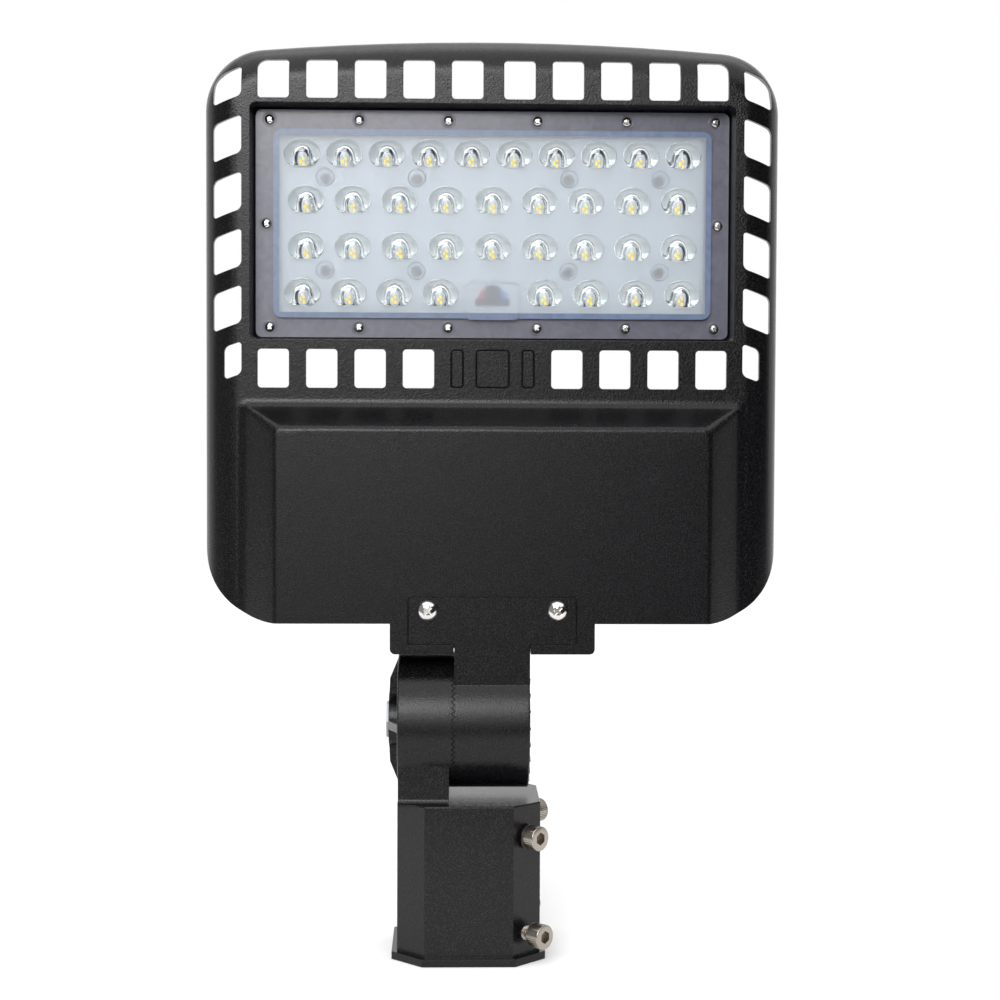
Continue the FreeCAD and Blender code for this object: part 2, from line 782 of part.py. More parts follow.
def outline_wire(inset, bottom, bottom_radius, grow):
    """Housing outline, moved inwards by inset and outwards by grow, with an arched top edge."""
    shift = grow - inset
    half = housing_half_width + shift
    top = housing_top + shift
    corner = top_corner_radius + shift
    crown = crown_radius + shift
    crown_z = top - crown
    corner_x = half - corner
    corner_z = crown_z + math.sqrt((crown - corner) ** 2 - corner_x ** 2)
    turn = math.atan2(corner_z - crown_z, corner_x)

    def place(x, z):
        return vec(head_x + x, 0, z)

    def on_arc(center_x, center_z, radius, angle):
        return place(center_x + radius * math.cos(angle), center_z + radius * math.sin(angle))

    right_top = place(half, corner_z)
    crown_right = on_arc(corner_x, corner_z, corner, turn)
    crown_left = on_arc(-corner_x, corner_z, corner, math.pi - turn)
    left_top = place(-half, corner_z)
    edges = [
        Part.Arc(right_top, on_arc(corner_x, corner_z, corner, turn / 2), crown_right),
        Part.Arc(crown_right, place(0, top), crown_left),
        Part.Arc(crown_left, on_arc(-corner_x, corner_z, corner, math.pi - turn / 2), left_top),
    ]
    if bottom_radius > 0:
        low = bottom + bottom_radius
        center_x = half - bottom_radius
        edges += [
            Part.LineSegment(left_top, place(-half, low)),
            Part.Arc(place(-half, low), on_arc(-center_x, low, bottom_radius, 1.25 * math.pi),
                     place(-center_x, bottom)),
            Part.LineSegment(place(-center_x, bottom), place(center_x, bottom)),
            Part.Arc(place(center_x, bottom), on_arc(center_x, low, bottom_radius, -0.25 * math.pi),
                     place(half, low)),
            Part.LineSegment(place(half, low), right_top),
        ]
    else:
        edges += [
            Part.LineSegment(left_top, place(-half, bottom)),
            Part.LineSegment(place(-half, bottom), place(half, bottom)),
            Part.LineSegment(place(half, bottom), right_top),
        ]
    return Part.Wire([edge.toShape() for edge in edges])


def outline_prism(inset, y0, y1):
    """Straight block of the housing's outline."""
    wire = outline_wire(inset, housing_bottom + inset, bottom_corner_radius - inset, 0)
    wire.translate(vec(0, y0, 0))
    return prism(wire, y1)


def rolled_block(inset):
    """Block whose front edge rolls back round the sides and the top, running on past the bottom."""
    bottom = housing_bottom - roll_radius
    y0 = frame_front_y + inset
    wire = outline_wire(inset, bottom, 0, roll_spread)
    wire.translate(vec(0, y0, 0))
    block = prism(wire, max(rim_y, frame_front_y + roll_radius) + 2 * overlap)
    return block.makeFillet(roll_radius - inset, front_edges(block, y0, bottom))


def bulge_wire(y, inset, flare):
    """Section of the driver bulge at a depth station, its ramps moved inwards by inset, out by flare."""
    back = (y - driver_front_y) / driver_bulge
    slope = math.sqrt(1 + (ramp_side_run / driver_bulge) ** 2)
    half = ramp_foot_half - ramp_side_run * (1 - back) - inset * slope + flare
    top = ramp_foot_z - ramp_top_run * (1 - back) - inset * slope + flare
    corner = ramp_front_corner + (ramp_foot_corner - ramp_front_corner) * back + flare
    bottom = housing_bottom - roll_radius
    corners = [(-half, bottom, 0), (half, bottom, 0), (half, top, corner), (-half, top, corner)]
    return rounded_wire([(head_x + x, z, radius) for x, z, radius in corners], y)


def bulge_outside():
    """Driver bulge with a rounded front edge, and a hollow foot where its ramps meet the flat frame."""
    turn = math.atan2(driver_bulge, ramp_side_run)
    wires = [bulge_wire(driver_front_y, 0, 0)]
    for step in range(ramp_foot_steps, -1, -1):
        angle = turn * step / ramp_foot_steps
        rise = ramp_foot_round * (1 - math.cos(angle))
        reach = ramp_foot_round * (math.tan(turn / 2) - math.sin(angle))
        flare = reach + rise * ramp_side_run / driver_bulge
        wires.append(bulge_wire(frame_front_y - rise, 0, flare))
    wires.append(bulge_wire(frame_front_y + overlap, 0, flare))
    block = Part.makeLoft(wires, True, True)
    return block.makeFillet(ramp_edge_round, front_edges(block, driver_front_y, housing_bottom - roll_radius))


def bulge_inside():
    y0 = driver_front_y + wall
    y1 = frame_front_y + wall + overlap
    return Part.makeLoft([bulge_wire(y0, wall, 0), bulge_wire(y1, wall, 0)], True, True)


def vent_wires(y):
    """Outlines of every vent, top row, lower row and both sides."""
    wires = []
    top_z = recess_top + vent_top_strip
    low_z = recess_bottom - vent_low_strip - vent_height
    for side in (-1, 1):
        for index in range(vents_per_half):
            middle = head_x + side * (vent_middle_offset + index * vent_pitch)
            outer_x = middle + side * vent_width / 2
            inner_x = middle - side * vent_width / 2
            last = index == vents_per_half - 1
            round_top = vent_end_corner_radius if last else vent_corner_radius
            for z0, outer_radius in ((top_z, round_top), (low_z, vent_corner_radius)):
                if z0 == low_z and index == 0:
                    continue
                corners = [
                    (inner_x, z0, vent_corner_radius),
                    (outer_x, z0, vent_corner_radius),
                    (outer_x, z0 + vent_height, outer_radius),
                    (inner_x, z0 + vent_height, vent_corner_radius),
                ]
                wires.append(rounded_wire(corners, y))
        inner_x = head_x + side * (recess_half_width + side_vent_strip)
        outer_x = head_x + side * (housing_half_width - side_vent_rim)
        for index in range(-1, side_vent_count + 1):
            high = recess_top - side_vent_top_drop - index * side_vent_pitch
            low = high - side_vent_height
            far_x = outer_x
            outer_radius = side_vent_round_radius
            slant = side_vent_slant
            if index == -1:
                high -= corner_vent_shrink
                outer_radius = corner_vent_radius
            if index == side_vent_count:
                low += narrow_vent_shrink
                far_x = inner_x + side * narrow_vent_width
                slant = side_vent_slant * narrow_vent_width / abs(outer_x - inner_x)
            corners = [
                (inner_x, low, side_vent_round_radius),
                (far_x, low - slant, side_vent_sharp_radius),
                (far_x, high - slant, outer_radius),
                (inner_x, high, side_vent_sharp_radius),
            ]
            wires.append(rounded_wire(corners, y))
    return wires


def groove(x, width, y):
    """Shallow cutter round a blind panel between the lower vents."""
    middle = recess_bottom - vent_low_strip - vent_height / 2
    cutter = None
    for grow in (0, -groove_width):
        half = width / 2 + grow
        tall = vent_height / 2 + grow
        corners = [(-half, -tall), (half, -tall), (half, tall), (-half, tall)]
        radius = vent_corner_radius + grow
        wire = rounded_wire([(head_x + x + dx, middle + dz, radius) for dx, dz in corners], y - overlap)
        block = prism(wire, y + groove_depth)
        cutter = block if cutter is None else cutter.cut(block)
    return cutter


def rear_screw_places(y):
    side_x = housing_half_width - rear_boss_side_inset
    low = housing_bottom + rear_boss_low_inset
    high = ramp_foot_z - rear_boss_radius + overlap / 2
    places = []
    for side in (-1, 1):
        places.append((side * rear_screw_x, low))
        places.append((side * rear_screw_x, high))
        places.append((side * side_x, housing_bottom + rear_screw_side_low))
        places.append((side * side_x, housing_bottom + rear_screw_side_high))
    return [vec(head_x + x, y, z) for x, z in places]


def lens_screw_places(y):
    places = []
    for column in range(lens_screw_columns):
        x = (column - (lens_screw_columns - 1) / 2) * lens_screw_pitch
        places.append((x, lens_screw_half_height))
        places.append((x, -lens_screw_half_height))
    places.append((-lens_screw_side_x, 0))
    places.append((lens_screw_side_x, 0))
    return [vec(head_x + x, y, recess_center_z + z) for x, z in places]


def board_screw_places(y):
    places = []
    for x in board_screw_x:
        for side in (-1, 1):
            for level in (-1, 1):
                places.append(vec(head_x + side * x, y, recess_center_z + level * row_pitch))
    return places


def driver_screw_places(y):
    x = driver_half_length + driver_ear_length / 2
    places = []
    for side in (-1, 1):
        for level in driver_screw_levels:
            places.append(vec(head_x + side * x, y, driver_bottom_z + driver_height * level))
    return places


def lead_hole(y0, y1):
    """Slot through pad, board and floor for the LED leads."""
    z0 = recess_center_z - board_half_height + lead_hole_rise
    return plate(duct_half_width, z0, z0 + lead_hole_height, lead_radius, y0, y1)


def led_tray():
    """Solid block behind the frame that the LED recess and board pocket are cut from, with its fins."""
    half = recess_half_width + tray_wall
    z0 = recess_bottom - tray_wall
    z1 = recess_top + tray_wall
    blocks = [head_box(half, frame_front_y + wall / 2, tray_back_y, z0, z1)]
    pitch = (2 * half - fin_thickness) / (fin_count - 1)
    for index in range(fin_count):
        x = head_x - half + index * pitch
        blocks.append(box(x, x + fin_thickness, tray_back_y - overlap, fin_back_y, z0, z1))
    return blocks


def recess_cutter():
    wires = []
    for y, draft in ((frame_front_y, 0), (seat_y, recess_draft)):
        wires.append(rectangle(recess_half_width - draft, recess_bottom + draft, recess_top - draft,
                               recess_corner_radius, y))
    cutter = Part.makeLoft(wires, True, True)
    return cutter.fuse(plate(optic_inner_half_width, recess_center_z - optic_inner_half_height,
                             recess_center_z + optic_inner_half_height, recess_corner_radius,
                             seat_y - overlap, pocket_floor_y))


def neck_block():
    """Block below and inside the bay that the bracket's pocket is cut from."""
    low = rounded_wire([
        (head_x - neck_half_width, neck_bottom, neck_corner_radius),
        (head_x + neck_half_width, neck_bottom, neck_corner_radius),
        (head_x + neck_half_width, housing_bottom + wall / 2, 0),
        (head_x - neck_half_width, housing_bottom + wall / 2, 0),
    ], driver_front_y)
    top = plate_top + plate_clearance + neck_roof
    half = plate_half_width + plate_clearance + neck_roof
    return [prism(low, neck_back_y), head_box(half, driver_front_y, neck_back_y, housing_bottom, top)]


def bracket_pocket():
    """Room for the T plate, its gasket and the arm."""
    low = plate_bottom - plate_clearance
    top = plate_top + plate_clearance
    back = plate_back_y + bracket_gasket_thickness
    pocket = plate(plate_half_width + plate_clearance, low, top, plate_corner_radius,
                   driver_front_y - overlap, back)
    slot = head_box(bracket_half_width + plate_clearance, driver_front_y - overlap,
                    bracket_back_y + plate_clearance, neck_bottom - overlap, top)
    return pocket.fuse(slot)


def grommet_place():
    return vec(head_x, (bracket_front_y + bracket_back_y) / 2, plate_top + plate_clearance)


def duct_blocks():
    """Cast duct from the driver bay, behind the blind panels, to the back of the LED pocket."""
    top = recess_center_z - board_half_height + lead_hole_rise + lead_hole_height + duct_wall
    half = duct_half_width + duct_wall
    front = head_box(half, frame_front_y + wall / 2, rim_y, bay_top_z - overlap, top)
    back = head_box(half, rim_y - overlap, duct_back_y + duct_wall, duct_low_z, top)
    return [front, back]


def duct_cutters():
    top = recess_center_z - board_half_height + lead_hole_rise + lead_hole_height
    deep_y = seat_y + duct_front_wall
    low = head_box(duct_half_width, frame_front_y + wall + duct_front_wall, duct_back_y,
                   duct_floor_z, recess_bottom - tray_wall)
    high = head_box(duct_half_width, deep_y, duct_back_y, duct_floor_z, top)
    inlet = head_box(duct_half_width, frame_front_y + wall + duct_front_wall, rim_y - wall,
                     ramp_foot_z - overlap, duct_floor_z + overlap)
    return [low, high, inlet, lead_hole(seat_y, duct_back_y)]


def housing():
    """Die-cast housing: rolled frame with vents, LED tray with fins, driver bay and neck."""
    body = rolled_block(0).fuse(bulge_outside())
    body = body.common(outline_prism(0, driver_front_y - overlap, rim_y))
    hollow = rolled_block(wall).fuse(bulge_inside())
    body = body.cut(hollow.common(outline_prism(wall, driver_front_y, rim_y + overlap)))
    partition = box(head_x - housing_half_width, head_x + housing_half_width, frame_front_y + wall / 2, rim_y,
                    ramp_foot_z, bay_top_z)
    partition = partition.common(rolled_block(wall / 2))
    additions = [partition] + duct_blocks() + led_tray() + neck_block()
    for place in rear_screw_places(rim_y - rear_boss_depth):
        additions.append(cylinder(rear_boss_radius, place, vec(0, 1, 0), rear_boss_depth))
    for place in driver_screw_places(driver_bay_front_y - overlap):
        additions.append(cylinder(driver_post_radius, place, vec(0, 1, 0), driver_post_height + overlap))
    body = body.multiFuse(additions)
    cutters = [recess_cutter(), bracket_pocket()] + duct_cutters()
    for wire in vent_wires(frame_front_y - overlap):
        cutters.append(prism(wire, rim_y + overlap))
    for x, width in ((0, blind_panel_width), (-blind_slot_offset, blind_slot_width),
                     (blind_slot_offset, blind_slot_width)):
        cutters.append(groove(x, width, frame_front_y))
    cutters += knockout_cutters()
    cutters += screw_holes()
    return body.cut(cutters)


def knockout_cutters():
    center = vec(head_x + knockout_x, driver_front_y - overlap, housing_bottom + knockout_height)
    disc = cylinder(knockout_radius, center, vec(0, 1, 0), knockout_depth + overlap)
    return [disc.cut(cylinder(knockout_dot_radius, center, vec(0, 1, 0), knockout_depth + overlap))]


def screw_holes():
    """Blind screw holes, and the grommet's hole in the neck's roof."""
    inward = vec(0, 1, 0)
    holes = []
    for place in lens_screw_places(seat_y - overlap):
        depth = lens_screw_length - lens_back_y + lens_front_y + blind_end
        holes.append(cylinder(lens_screw_radius + thread_clearance, place, inward, depth + overlap))
    for place in board_screw_places(pocket_floor_y - overlap):
        depth = board_screw_length - board_thickness - pad_thickness + blind_end / 2
        holes.append(cylinder(board_screw_radius + thread_clearance, place, inward, depth + overlap))
    for place in bracket_screw_places(plate_back_y):
        depth = bracket_screw_length - plate_thickness + blind_end
        holes.append(cylinder(bracket_screw_radius + thread_clearance, place, inward, depth))
    for place in rear_screw_places(rim_y + overlap):
        depth = rear_screw_length - rear_gasket_thickness - rear_flange_thickness + blind_end
        holes.append(cylinder(rear_screw_radius + thread_clearance, place, vec(0, -1, 0), depth + overlap))
    for place in driver_screw_places(driver_front_face_y + overlap):
        depth = driver_screw_length - driver_ear_thickness + blind_end / 2
        holes.append(cylinder(driver_screw_radius + thread_clearance, place, vec(0, -1, 0), depth + overlap))
    earth = earth_screw_place()
    holes.append(cylinder(driver_screw_radius + thread_clearance, earth, vec(0, -1, 0), wall - blind_end))
    grommet_start = grommet_place() - vec(0, 0, overlap)
    holes.append(cylinder(grommet_radius, grommet_start, vec(0, 0, 1), neck_roof + 2 * overlap))
    return holes


def cable_grommet():
    base = grommet_place()
    up = vec(0, 0, 1)
    body = cylinder(grommet_radius - thread_clearance, base, up, neck_roof)
    lip_start = base + vec(0, 0, neck_roof)
    body = body.fuse(cylinder(grommet_radius + grommet_lip, lip_start, up, grommet_lip))
    return body.cut(cylinder(grommet_bore, base, up, neck_roof + grommet_lip))


def lens_positions():
    """Middle of every dome lens, as x and z from the panel's centre."""
    places = []
    top_z = 1.5 * row_pitch
    for index in range(top_row_count):
        places.append(((index - (top_row_count - 1) / 2) * top_row_pitch, top_z))
    for row in (1, 2):
        for index in range(middle_row_count):
            x = (index - (middle_row_count - 1) / 2) * middle_row_pitch
            places.append((x, top_z - row * row_pitch))
    for side in (-1, 1):
        for index in range(bottom_row_per_half):
            places.append((side * (bottom_row_first + index * bottom_row_pitch), -top_z))
    return places


def ellipsoid(half_x, half_y, half_z):
    stretch = FreeCAD.Matrix()
    stretch.scale(half_x, half_y, half_z)
    return Part.makeSphere(1.0).transformGeometry(stretch)


def lens_panel():
    """Clear optic: screwed border, raised middle, a window over the leads, and the dome lenses."""
    low = recess_center_z - lens_half_height
    high = recess_center_z + lens_half_height
    body = plate(lens_half_width, low, high, lens_corner_radius, lens_front_y, lens_back_y)
    optic_low = recess_center_z - optic_half_height
    optic_high = recess_center_z + optic_half_height
    body = body.fuse(plate(optic_half_width, optic_low, optic_high, optic_corner_radius,
                           optic_front_y, lens_back_y))
    window_low = optic_low - window_drop
    body = body.fuse(plate(window_half_width, window_low, window_low + window_height, optic_corner_radius,
                           optic_front_y - window_rise, lens_back_y))
    inner_low = recess_center_z - optic_inner_half_height
    inner_high = recess_center_z + optic_inner_half_height
    body = body.cut(plate(optic_inner_half_width, inner_low, inner_high, optic_corner_radius - optic_wall,
                          optic_back_y, lens_back_y + overlap))
    dome = ellipsoid(dome_half_width, dome_height, dome_half_height)
    dome = dome.common(box(-dome_half_width, dome_half_width, -dome_height, optic_skin / 2,
                           -dome_cut, dome_half_height))
    foot_length = board_front_y - lens_foot_gap - optic_back_y
    foot = cylinder(lens_foot_radius, vec(0, optic_skin / 2, 0), vec(0, 1, 0), optic_skin / 2 + foot_length)
    cavity = ellipsoid(cavity_half_width, cavity_height, cavity_half_height)
    cavity.translate(vec(0, optic_skin + foot_length, -led_drop / 2))
    element = dome.fuse(foot)
    elements = []
    cavities = []
    for x, z in lens_positions():
        shift = vec(head_x + x, optic_front_y, recess_center_z + z)
        elements.append(element.translated(shift))
        cavities.append(cavity.translated(shift))
    body = body.multiFuse(elements).cut(cavities)
    for place in lens_screw_places(lens_front_y):
        hole = lens_screw_radius + lens_screw_hole_clearance
        body = body.cut(cylinder(hole, place, vec(0, 1, 0), lens_flange_thickness))
    return body


def lens_gasket():
    low = recess_center_z - lens_half_height
    high = recess_center_z + lens_half_height
    ring = plate(lens_half_width, low, high, lens_corner_radius, lens_back_y, seat_y)
    ring = ring.cut(plate(optic_inner_half_width, recess_center_z - optic_inner_half_height,
                          recess_center_z + optic_inner_half_height, recess_corner_radius,
                          lens_back_y, seat_y))
    for place in lens_screw_places(lens_back_y):
        hole = lens_screw_radius + lens_screw_hole_clearance
        ring = ring.cut(cylinder(hole, place, vec(0, 1, 0), lens_gasket_thickness))
    return ring


def lens_screws():
    return pan_screws(lens_screw_places(lens_front_y), vec(0, -1, 0), lens_screw_head_radius,
                      lens_screw_head_height, lens_screw_radius, lens_screw_length)


def board_sheet(y0, y1):
    """Flat sheet the size of the LED board, with its screw holes and the slot for the leads."""
    sheet = plate(board_half_width, recess_center_z - board_half_height, recess_center_z + board_half_height,
                  recess_corner_radius, y0, y1)
    holes = [lead_hole(y0 - overlap, y1 + overlap)]
    for place in board_screw_places(y0):
        holes.append(cylinder(board_screw_radius + lens_screw_hole_clearance, place, vec(0, 1, 0), y1 - y0))
    return sheet.cut(holes)


def led_board():
    return board_sheet(board_front_y, board_back_y)


def thermal_pad():
    return board_sheet(board_back_y, pocket_floor_y)


def board_screws():
    return pan_screws(board_screw_places(board_front_y), vec(0, -1, 0), board_screw_head_radius,
                      board_screw_head_height, board_screw_radius, board_screw_length)


def led_places():
    return [(head_x + x, recess_center_z + z - led_drop) for x, z in lens_positions()]


def led_packages():
    packages = []
    for x, z in led_places():
        packages.append(box(x - led_half_size, x + led_half_size, led_front_y, board_front_y,
                            z - led_half_size, z + led_half_size))
    return Part.makeCompound(packages)


def led_phosphor():
    """Three round yellow emitters on every package."""
    dots = []
    for x, z in led_places():
        for turn in phosphor_turns:
            across = phosphor_spread * math.cos(math.radians(turn))
            up = phosphor_spread * math.sin(math.radians(turn))
            place = vec(x + across, led_front_y, z + up)
            dots.append(cylinder(phosphor_radius, place, vec(0, -1, 0), phosphor_thickness))
    return Part.makeCompound(dots)


def connector_bottom():
    return recess_center_z - board_half_height + lead_hole_rise + lead_hole_height


def board_connector():
    z0 = connector_bottom()
    body = head_box(connector_half_width, board_front_y - connector_depth, board_front_y,
                    z0, z0 + connector_height)
    for side in (-1, 1):
        start = vec(head_x + side * connector_half_width, lead_front_y(), z0 + connector_height / 2)
        body = body.cut(cylinder(lead_radius, start, vec(-side, 0, 0), connector_grip))
    return body


def lead_front_y():
    return board_front_y - connector_depth / 2


def led_lead(side):
    """One LED lead: out of the driver, up the duct, through the slot and into the connector's side."""
    x = head_x + side * lead_x
    hole_z = recess_center_z - board_half_height + lead_hole_rise + lead_hole_height / 2
    entry_z = connector_bottom() + connector_height / 2
    back_y = (seat_y + duct_front_wall + duct_back_y) / 2
    route = [
        vec(x, lead_start_y, driver_top_z),
        vec(x, lead_start_y, bay_top_z),
        vec(x, back_y, recess_bottom - tray_wall),
        vec(x, back_y, hole_z),
        vec(x, lead_front_y(), hole_z),
        vec(x, lead_front_y(), entry_z),
        vec(head_x + side * (connector_half_width - connector_grip), lead_front_y(), entry_z),
    ]
    edges = []
    start = route[0]
    for before, corner, after in zip(route, route[1:], route[2:]):
        back = before - corner
        ahead = after - corner
        shorter = min(back.Length, ahead.Length)
        half_turn = (math.pi - back.getAngle(ahead)) / 2
        reach = lead_bend_share * shorter
        radius = reach / math.tan(half_turn)
        print("lead bend radius", round(radius, 2))
        back.normalize()
        ahead.normalize()
        middle = back + ahead
        middle.normalize()
        first = corner + back * reach
        last = corner + ahead * reach
        top = corner + middle * (radius / math.cos(half_turn) - radius)
        edges.append(Part.LineSegment(start, first).toShape())
        edges.append(Part.Arc(first, top, last).toShape())
        start = last
    edges.append(Part.LineSegment(start, route[-1]).toShape())
    path = Part.Wire(edges)
    ring = Part.Wire(Part.makeCircle(lead_radius, route[0], vec(0, 0, 1)))
    lead = path.makePipeShell([ring], True, False)
    tube_volume = math.pi * lead_radius ** 2 * path.Length
    print("lead volume over section times length", round(lead.Volume / tube_volume, 4))
    return lead


def led_driver():
    y0 = driver_front_face_y
    body = head_box(driver_half_length, y0, y0 + driver_depth, driver_bottom_z, driver_top_z)
    long_edges = [edge for edge in body.Edges if edge.BoundBox.XLength > driver_half_length]
    body = body.makeFillet(driver_edge_round, long_edges)
    ears = head_box(driver_half_length + driver_ear_length, y0, y0 + driver_ear_thickness,
                    driver_bottom_z + driver_edge_round, driver_top_z - driver_edge_round)
    body = body.fuse(ears)
    for place in driver_screw_places(y0):
        hole = driver_screw_radius + lens_screw_hole_clearance
        body = body.cut(cylinder(hole, place, vec(0, 1, 0), driver_ear_thickness))
    return body


def driver_screws():
    places = driver_screw_places(driver_front_face_y + driver_ear_thickness)
    return pan_screws(places, vec(0, 1, 0), driver_screw_head_radius, driver_screw_head_height,
                      driver_screw_radius, driver_screw_length)


def supply_terminal():
    """Three-pole mains terminal block on the bay's front wall."""
    x = head_x + terminal_x
    z0 = housing_bottom + wall + terminal_gap
    body = box(x - terminal_half_length, x + terminal_half_length, driver_bay_front_y,
               driver_bay_front_y + terminal_depth, z0, z0 + terminal_height)
    pole_pitch = 2 * terminal_half_length / 3
    for index in (-1, 0, 1):
        place = vec(x + index * pole_pitch, driver_bay_front_y + terminal_depth / 2, z0 + terminal_height / 2)
        body = body.cut(cylinder(terminal_hole_radius, place, vec(0, 1, 0), terminal_depth))
    return body


def earth_screw_place():
    z = housing_bottom + wall + terminal_gap + terminal_height / 2
    return vec(head_x + earth_screw_x, driver_bay_front_y, z)


def earth_screw():
    return pan_screws([earth_screw_place()], vec(0, 1, 0), driver_screw_head_radius, driver_screw_head_height,
                      driver_screw_radius, wall - 1.5 * blind_end)


def bay_plate(y0, y1, inset):
    """Slice of the outline prism that covers the driver bay."""
    slice_box = box(head_x - housing_half_width, head_x + housing_half_width, y0, y1,
                    housing_bottom, bay_top_z - inset)
    return outline_prism(inset, y0, y1).common(slice_box)


def screw_through(shape, places, radius, length):
    for place in places:
        shape = shape.cut(cylinder(radius, place, vec(0, 1, 0), length))
    return shape


def rear_gasket():
    y1 = rim_y + rear_gasket_thickness
    ring = bay_plate(rim_y, y1, 0).cut(cover_rise(rim_y, y1, 0))
    hole = rear_screw_radius + lens_screw_hole_clearance
    return screw_through(ring, rear_screw_places(rim_y), hole, rear_gasket_thickness)


def cover_rise(y0, y1, inset):
    """Raised middle of the rear cover."""
    edge = rear_cover_inset + inset
    return plate(housing_half_width - edge, housing_bottom + edge, bay_top_z - edge,
                 rear_cover_corner - inset, y0, y1)


def rear_cover():
    y0 = rear_flange_y
    back_y = y0 + rear_cover_depth
    rise = cover_rise(y0, back_y, 0)
    rims = [edge for edge in rise.Edges if edge.BoundBox.YMin > back_y - 1e-4]
    rise = rise.makeFillet(rear_cover_round, rims)
    body = bay_plate(y0, y0 + rear_flange_thickness, 0).fuse(rise)
    body = body.cut(cover_rise(y0 - overlap, back_y - rear_cover_skin, rear_cover_skin))
    hole = rear_screw_radius + lens_screw_hole_clearance
    return screw_through(body, rear_screw_places(y0), hole, rear_flange_thickness)


def rear_screws():
    places = rear_screw_places(rear_flange_y + rear_flange_thickness)
    return pan_screws(places, vec(0, 1, 0), rear_screw_head_radius, rear_screw_head_height,
                      rear_screw_radius, rear_screw_length)


def pieces():
    named = {
        "slip_fitter": slip_fitter(),
        "pivot_bolt": pivot_bolt(),
        "pivot_washer": pivot_washer(),
        "pivot_lock_washer": pivot_lock_washer(),
        "pivot_nut": pivot_nut(),
        "tilt_bracket": tilt_bracket(),
        "bracket_gasket": bracket_gasket(),
        "bracket_screws": bracket_screws(),
        "cable_grommet": cable_grommet(),
        "housing": housing(),
        "lens_panel": lens_panel(),
        "lens_gasket": lens_gasket(),
        "lens_screws": lens_screws(),
        "led_board": led_board(),
        "thermal_pad": thermal_pad(),
        "led_packages": led_packages(),
        "led_phosphor": led_phosphor(),
        "board_screws": board_screws(),
        "board_connector": board_connector(),
        "lead_red": led_lead(-1),
        "lead_blue": led_lead(1),
        "led_driver": led_driver(),
        "driver_screws": driver_screws(),
        "supply_terminal": supply_terminal(),
        "earth_screw": earth_screw(),
        "rear_gasket": rear_gasket(),
        "rear_cover": rear_cover(),
        "rear_screws": rear_screws(),
    }
    for name, outward, height, standoff in clamp_places():
        named["clamp_screw_" + name] = clamp_screw(outward, height, standoff)
    return named


os.makedirs("parts", exist_ok=True)
for node, shape in pieces().items():
    shape.exportStep("parts/" + node + ".step")
    state = "valid" if shape.isValid() else "INVALID"
    print(node, len(shape.Solids), "solids", round(shape.Volume), "mm3", state)
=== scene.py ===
import json
import math

import bpy
from mathutils import Matrix, Vector


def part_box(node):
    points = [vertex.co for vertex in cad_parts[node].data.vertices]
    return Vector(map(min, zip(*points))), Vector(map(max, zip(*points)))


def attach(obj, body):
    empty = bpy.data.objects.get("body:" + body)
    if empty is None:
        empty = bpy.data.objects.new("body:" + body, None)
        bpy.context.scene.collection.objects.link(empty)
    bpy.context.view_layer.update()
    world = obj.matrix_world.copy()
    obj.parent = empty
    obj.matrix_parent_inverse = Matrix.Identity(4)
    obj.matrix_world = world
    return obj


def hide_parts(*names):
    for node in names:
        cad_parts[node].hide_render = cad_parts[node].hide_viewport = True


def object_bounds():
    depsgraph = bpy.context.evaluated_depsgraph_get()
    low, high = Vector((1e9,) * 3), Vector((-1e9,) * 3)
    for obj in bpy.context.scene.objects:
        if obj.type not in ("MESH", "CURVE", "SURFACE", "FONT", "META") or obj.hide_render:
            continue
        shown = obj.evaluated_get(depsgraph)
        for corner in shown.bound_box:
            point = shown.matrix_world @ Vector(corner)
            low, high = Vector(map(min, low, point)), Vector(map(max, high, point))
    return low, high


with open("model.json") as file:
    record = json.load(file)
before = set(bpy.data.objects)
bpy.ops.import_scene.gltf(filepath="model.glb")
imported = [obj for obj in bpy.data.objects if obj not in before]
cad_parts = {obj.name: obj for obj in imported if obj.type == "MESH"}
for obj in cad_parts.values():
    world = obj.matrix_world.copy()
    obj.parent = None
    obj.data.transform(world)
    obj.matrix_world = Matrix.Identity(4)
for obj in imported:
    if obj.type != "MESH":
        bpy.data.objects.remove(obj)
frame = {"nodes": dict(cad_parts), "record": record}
cad_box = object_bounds()

bl_info = {
    "name": "LED street light",
    "version": (1, 0, 0),
    "blender": (4, 5, 0),
    "location": "View3D > Sidebar > Street Light",
    "description": "Dresses the street light with its finishes, optics, screws and studio",
    "category": "Object",
}

MM = 0.001
CLAMP_SCREWS = [node for node in frame["nodes"] if node.startswith("clamp_screw")]
lens_low, lens_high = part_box("lens_panel")
LENS_X = (lens_low.x + lens_high.x) / 2
LENS_Z = (lens_low.z + lens_high.z) / 2

# Distances that keep pieces apart or tell faces apart
MERGE_DISTANCE = 0.004 * MM
BOX_MARGIN = 0.1 * MM
GROOVE_MARGIN = 0.05 * MM
WINDOW_SINK = 0.02 * MM
FLOOR_GAP = 0.2 * MM

# A face points along an axis, or lies along it, by this share of its normal
FACING = 0.9
EDGE_ON = 0.1

# Angles in degrees from which an edge stays crisp
CASTING_CREASE = 24
MOULDED_CREASE = 30
SCREW_CREASE = 35
LEAD_CREASE = 40
RING_CREASE = 50

# Order of the lens panel's materials
RIM, WALL, DOME, FROSTED = range(4)
DOME_TOLERANCE = 1.03
RING_ROUNDING = 0.3
RING_STEPS = 28

# Thread depth as a share of the pitch, and the sides of its circles
THREAD_DEPTH = 0.61
THREAD_SIDES = 36

# Sockets of the colour mix node
MIX_FIRST, MIX_SECOND, MIX_RESULT = 6, 7, 2
SPECK_SPAN = (0.5, 0.75)
POLYCARBONATE_IOR = 1.585

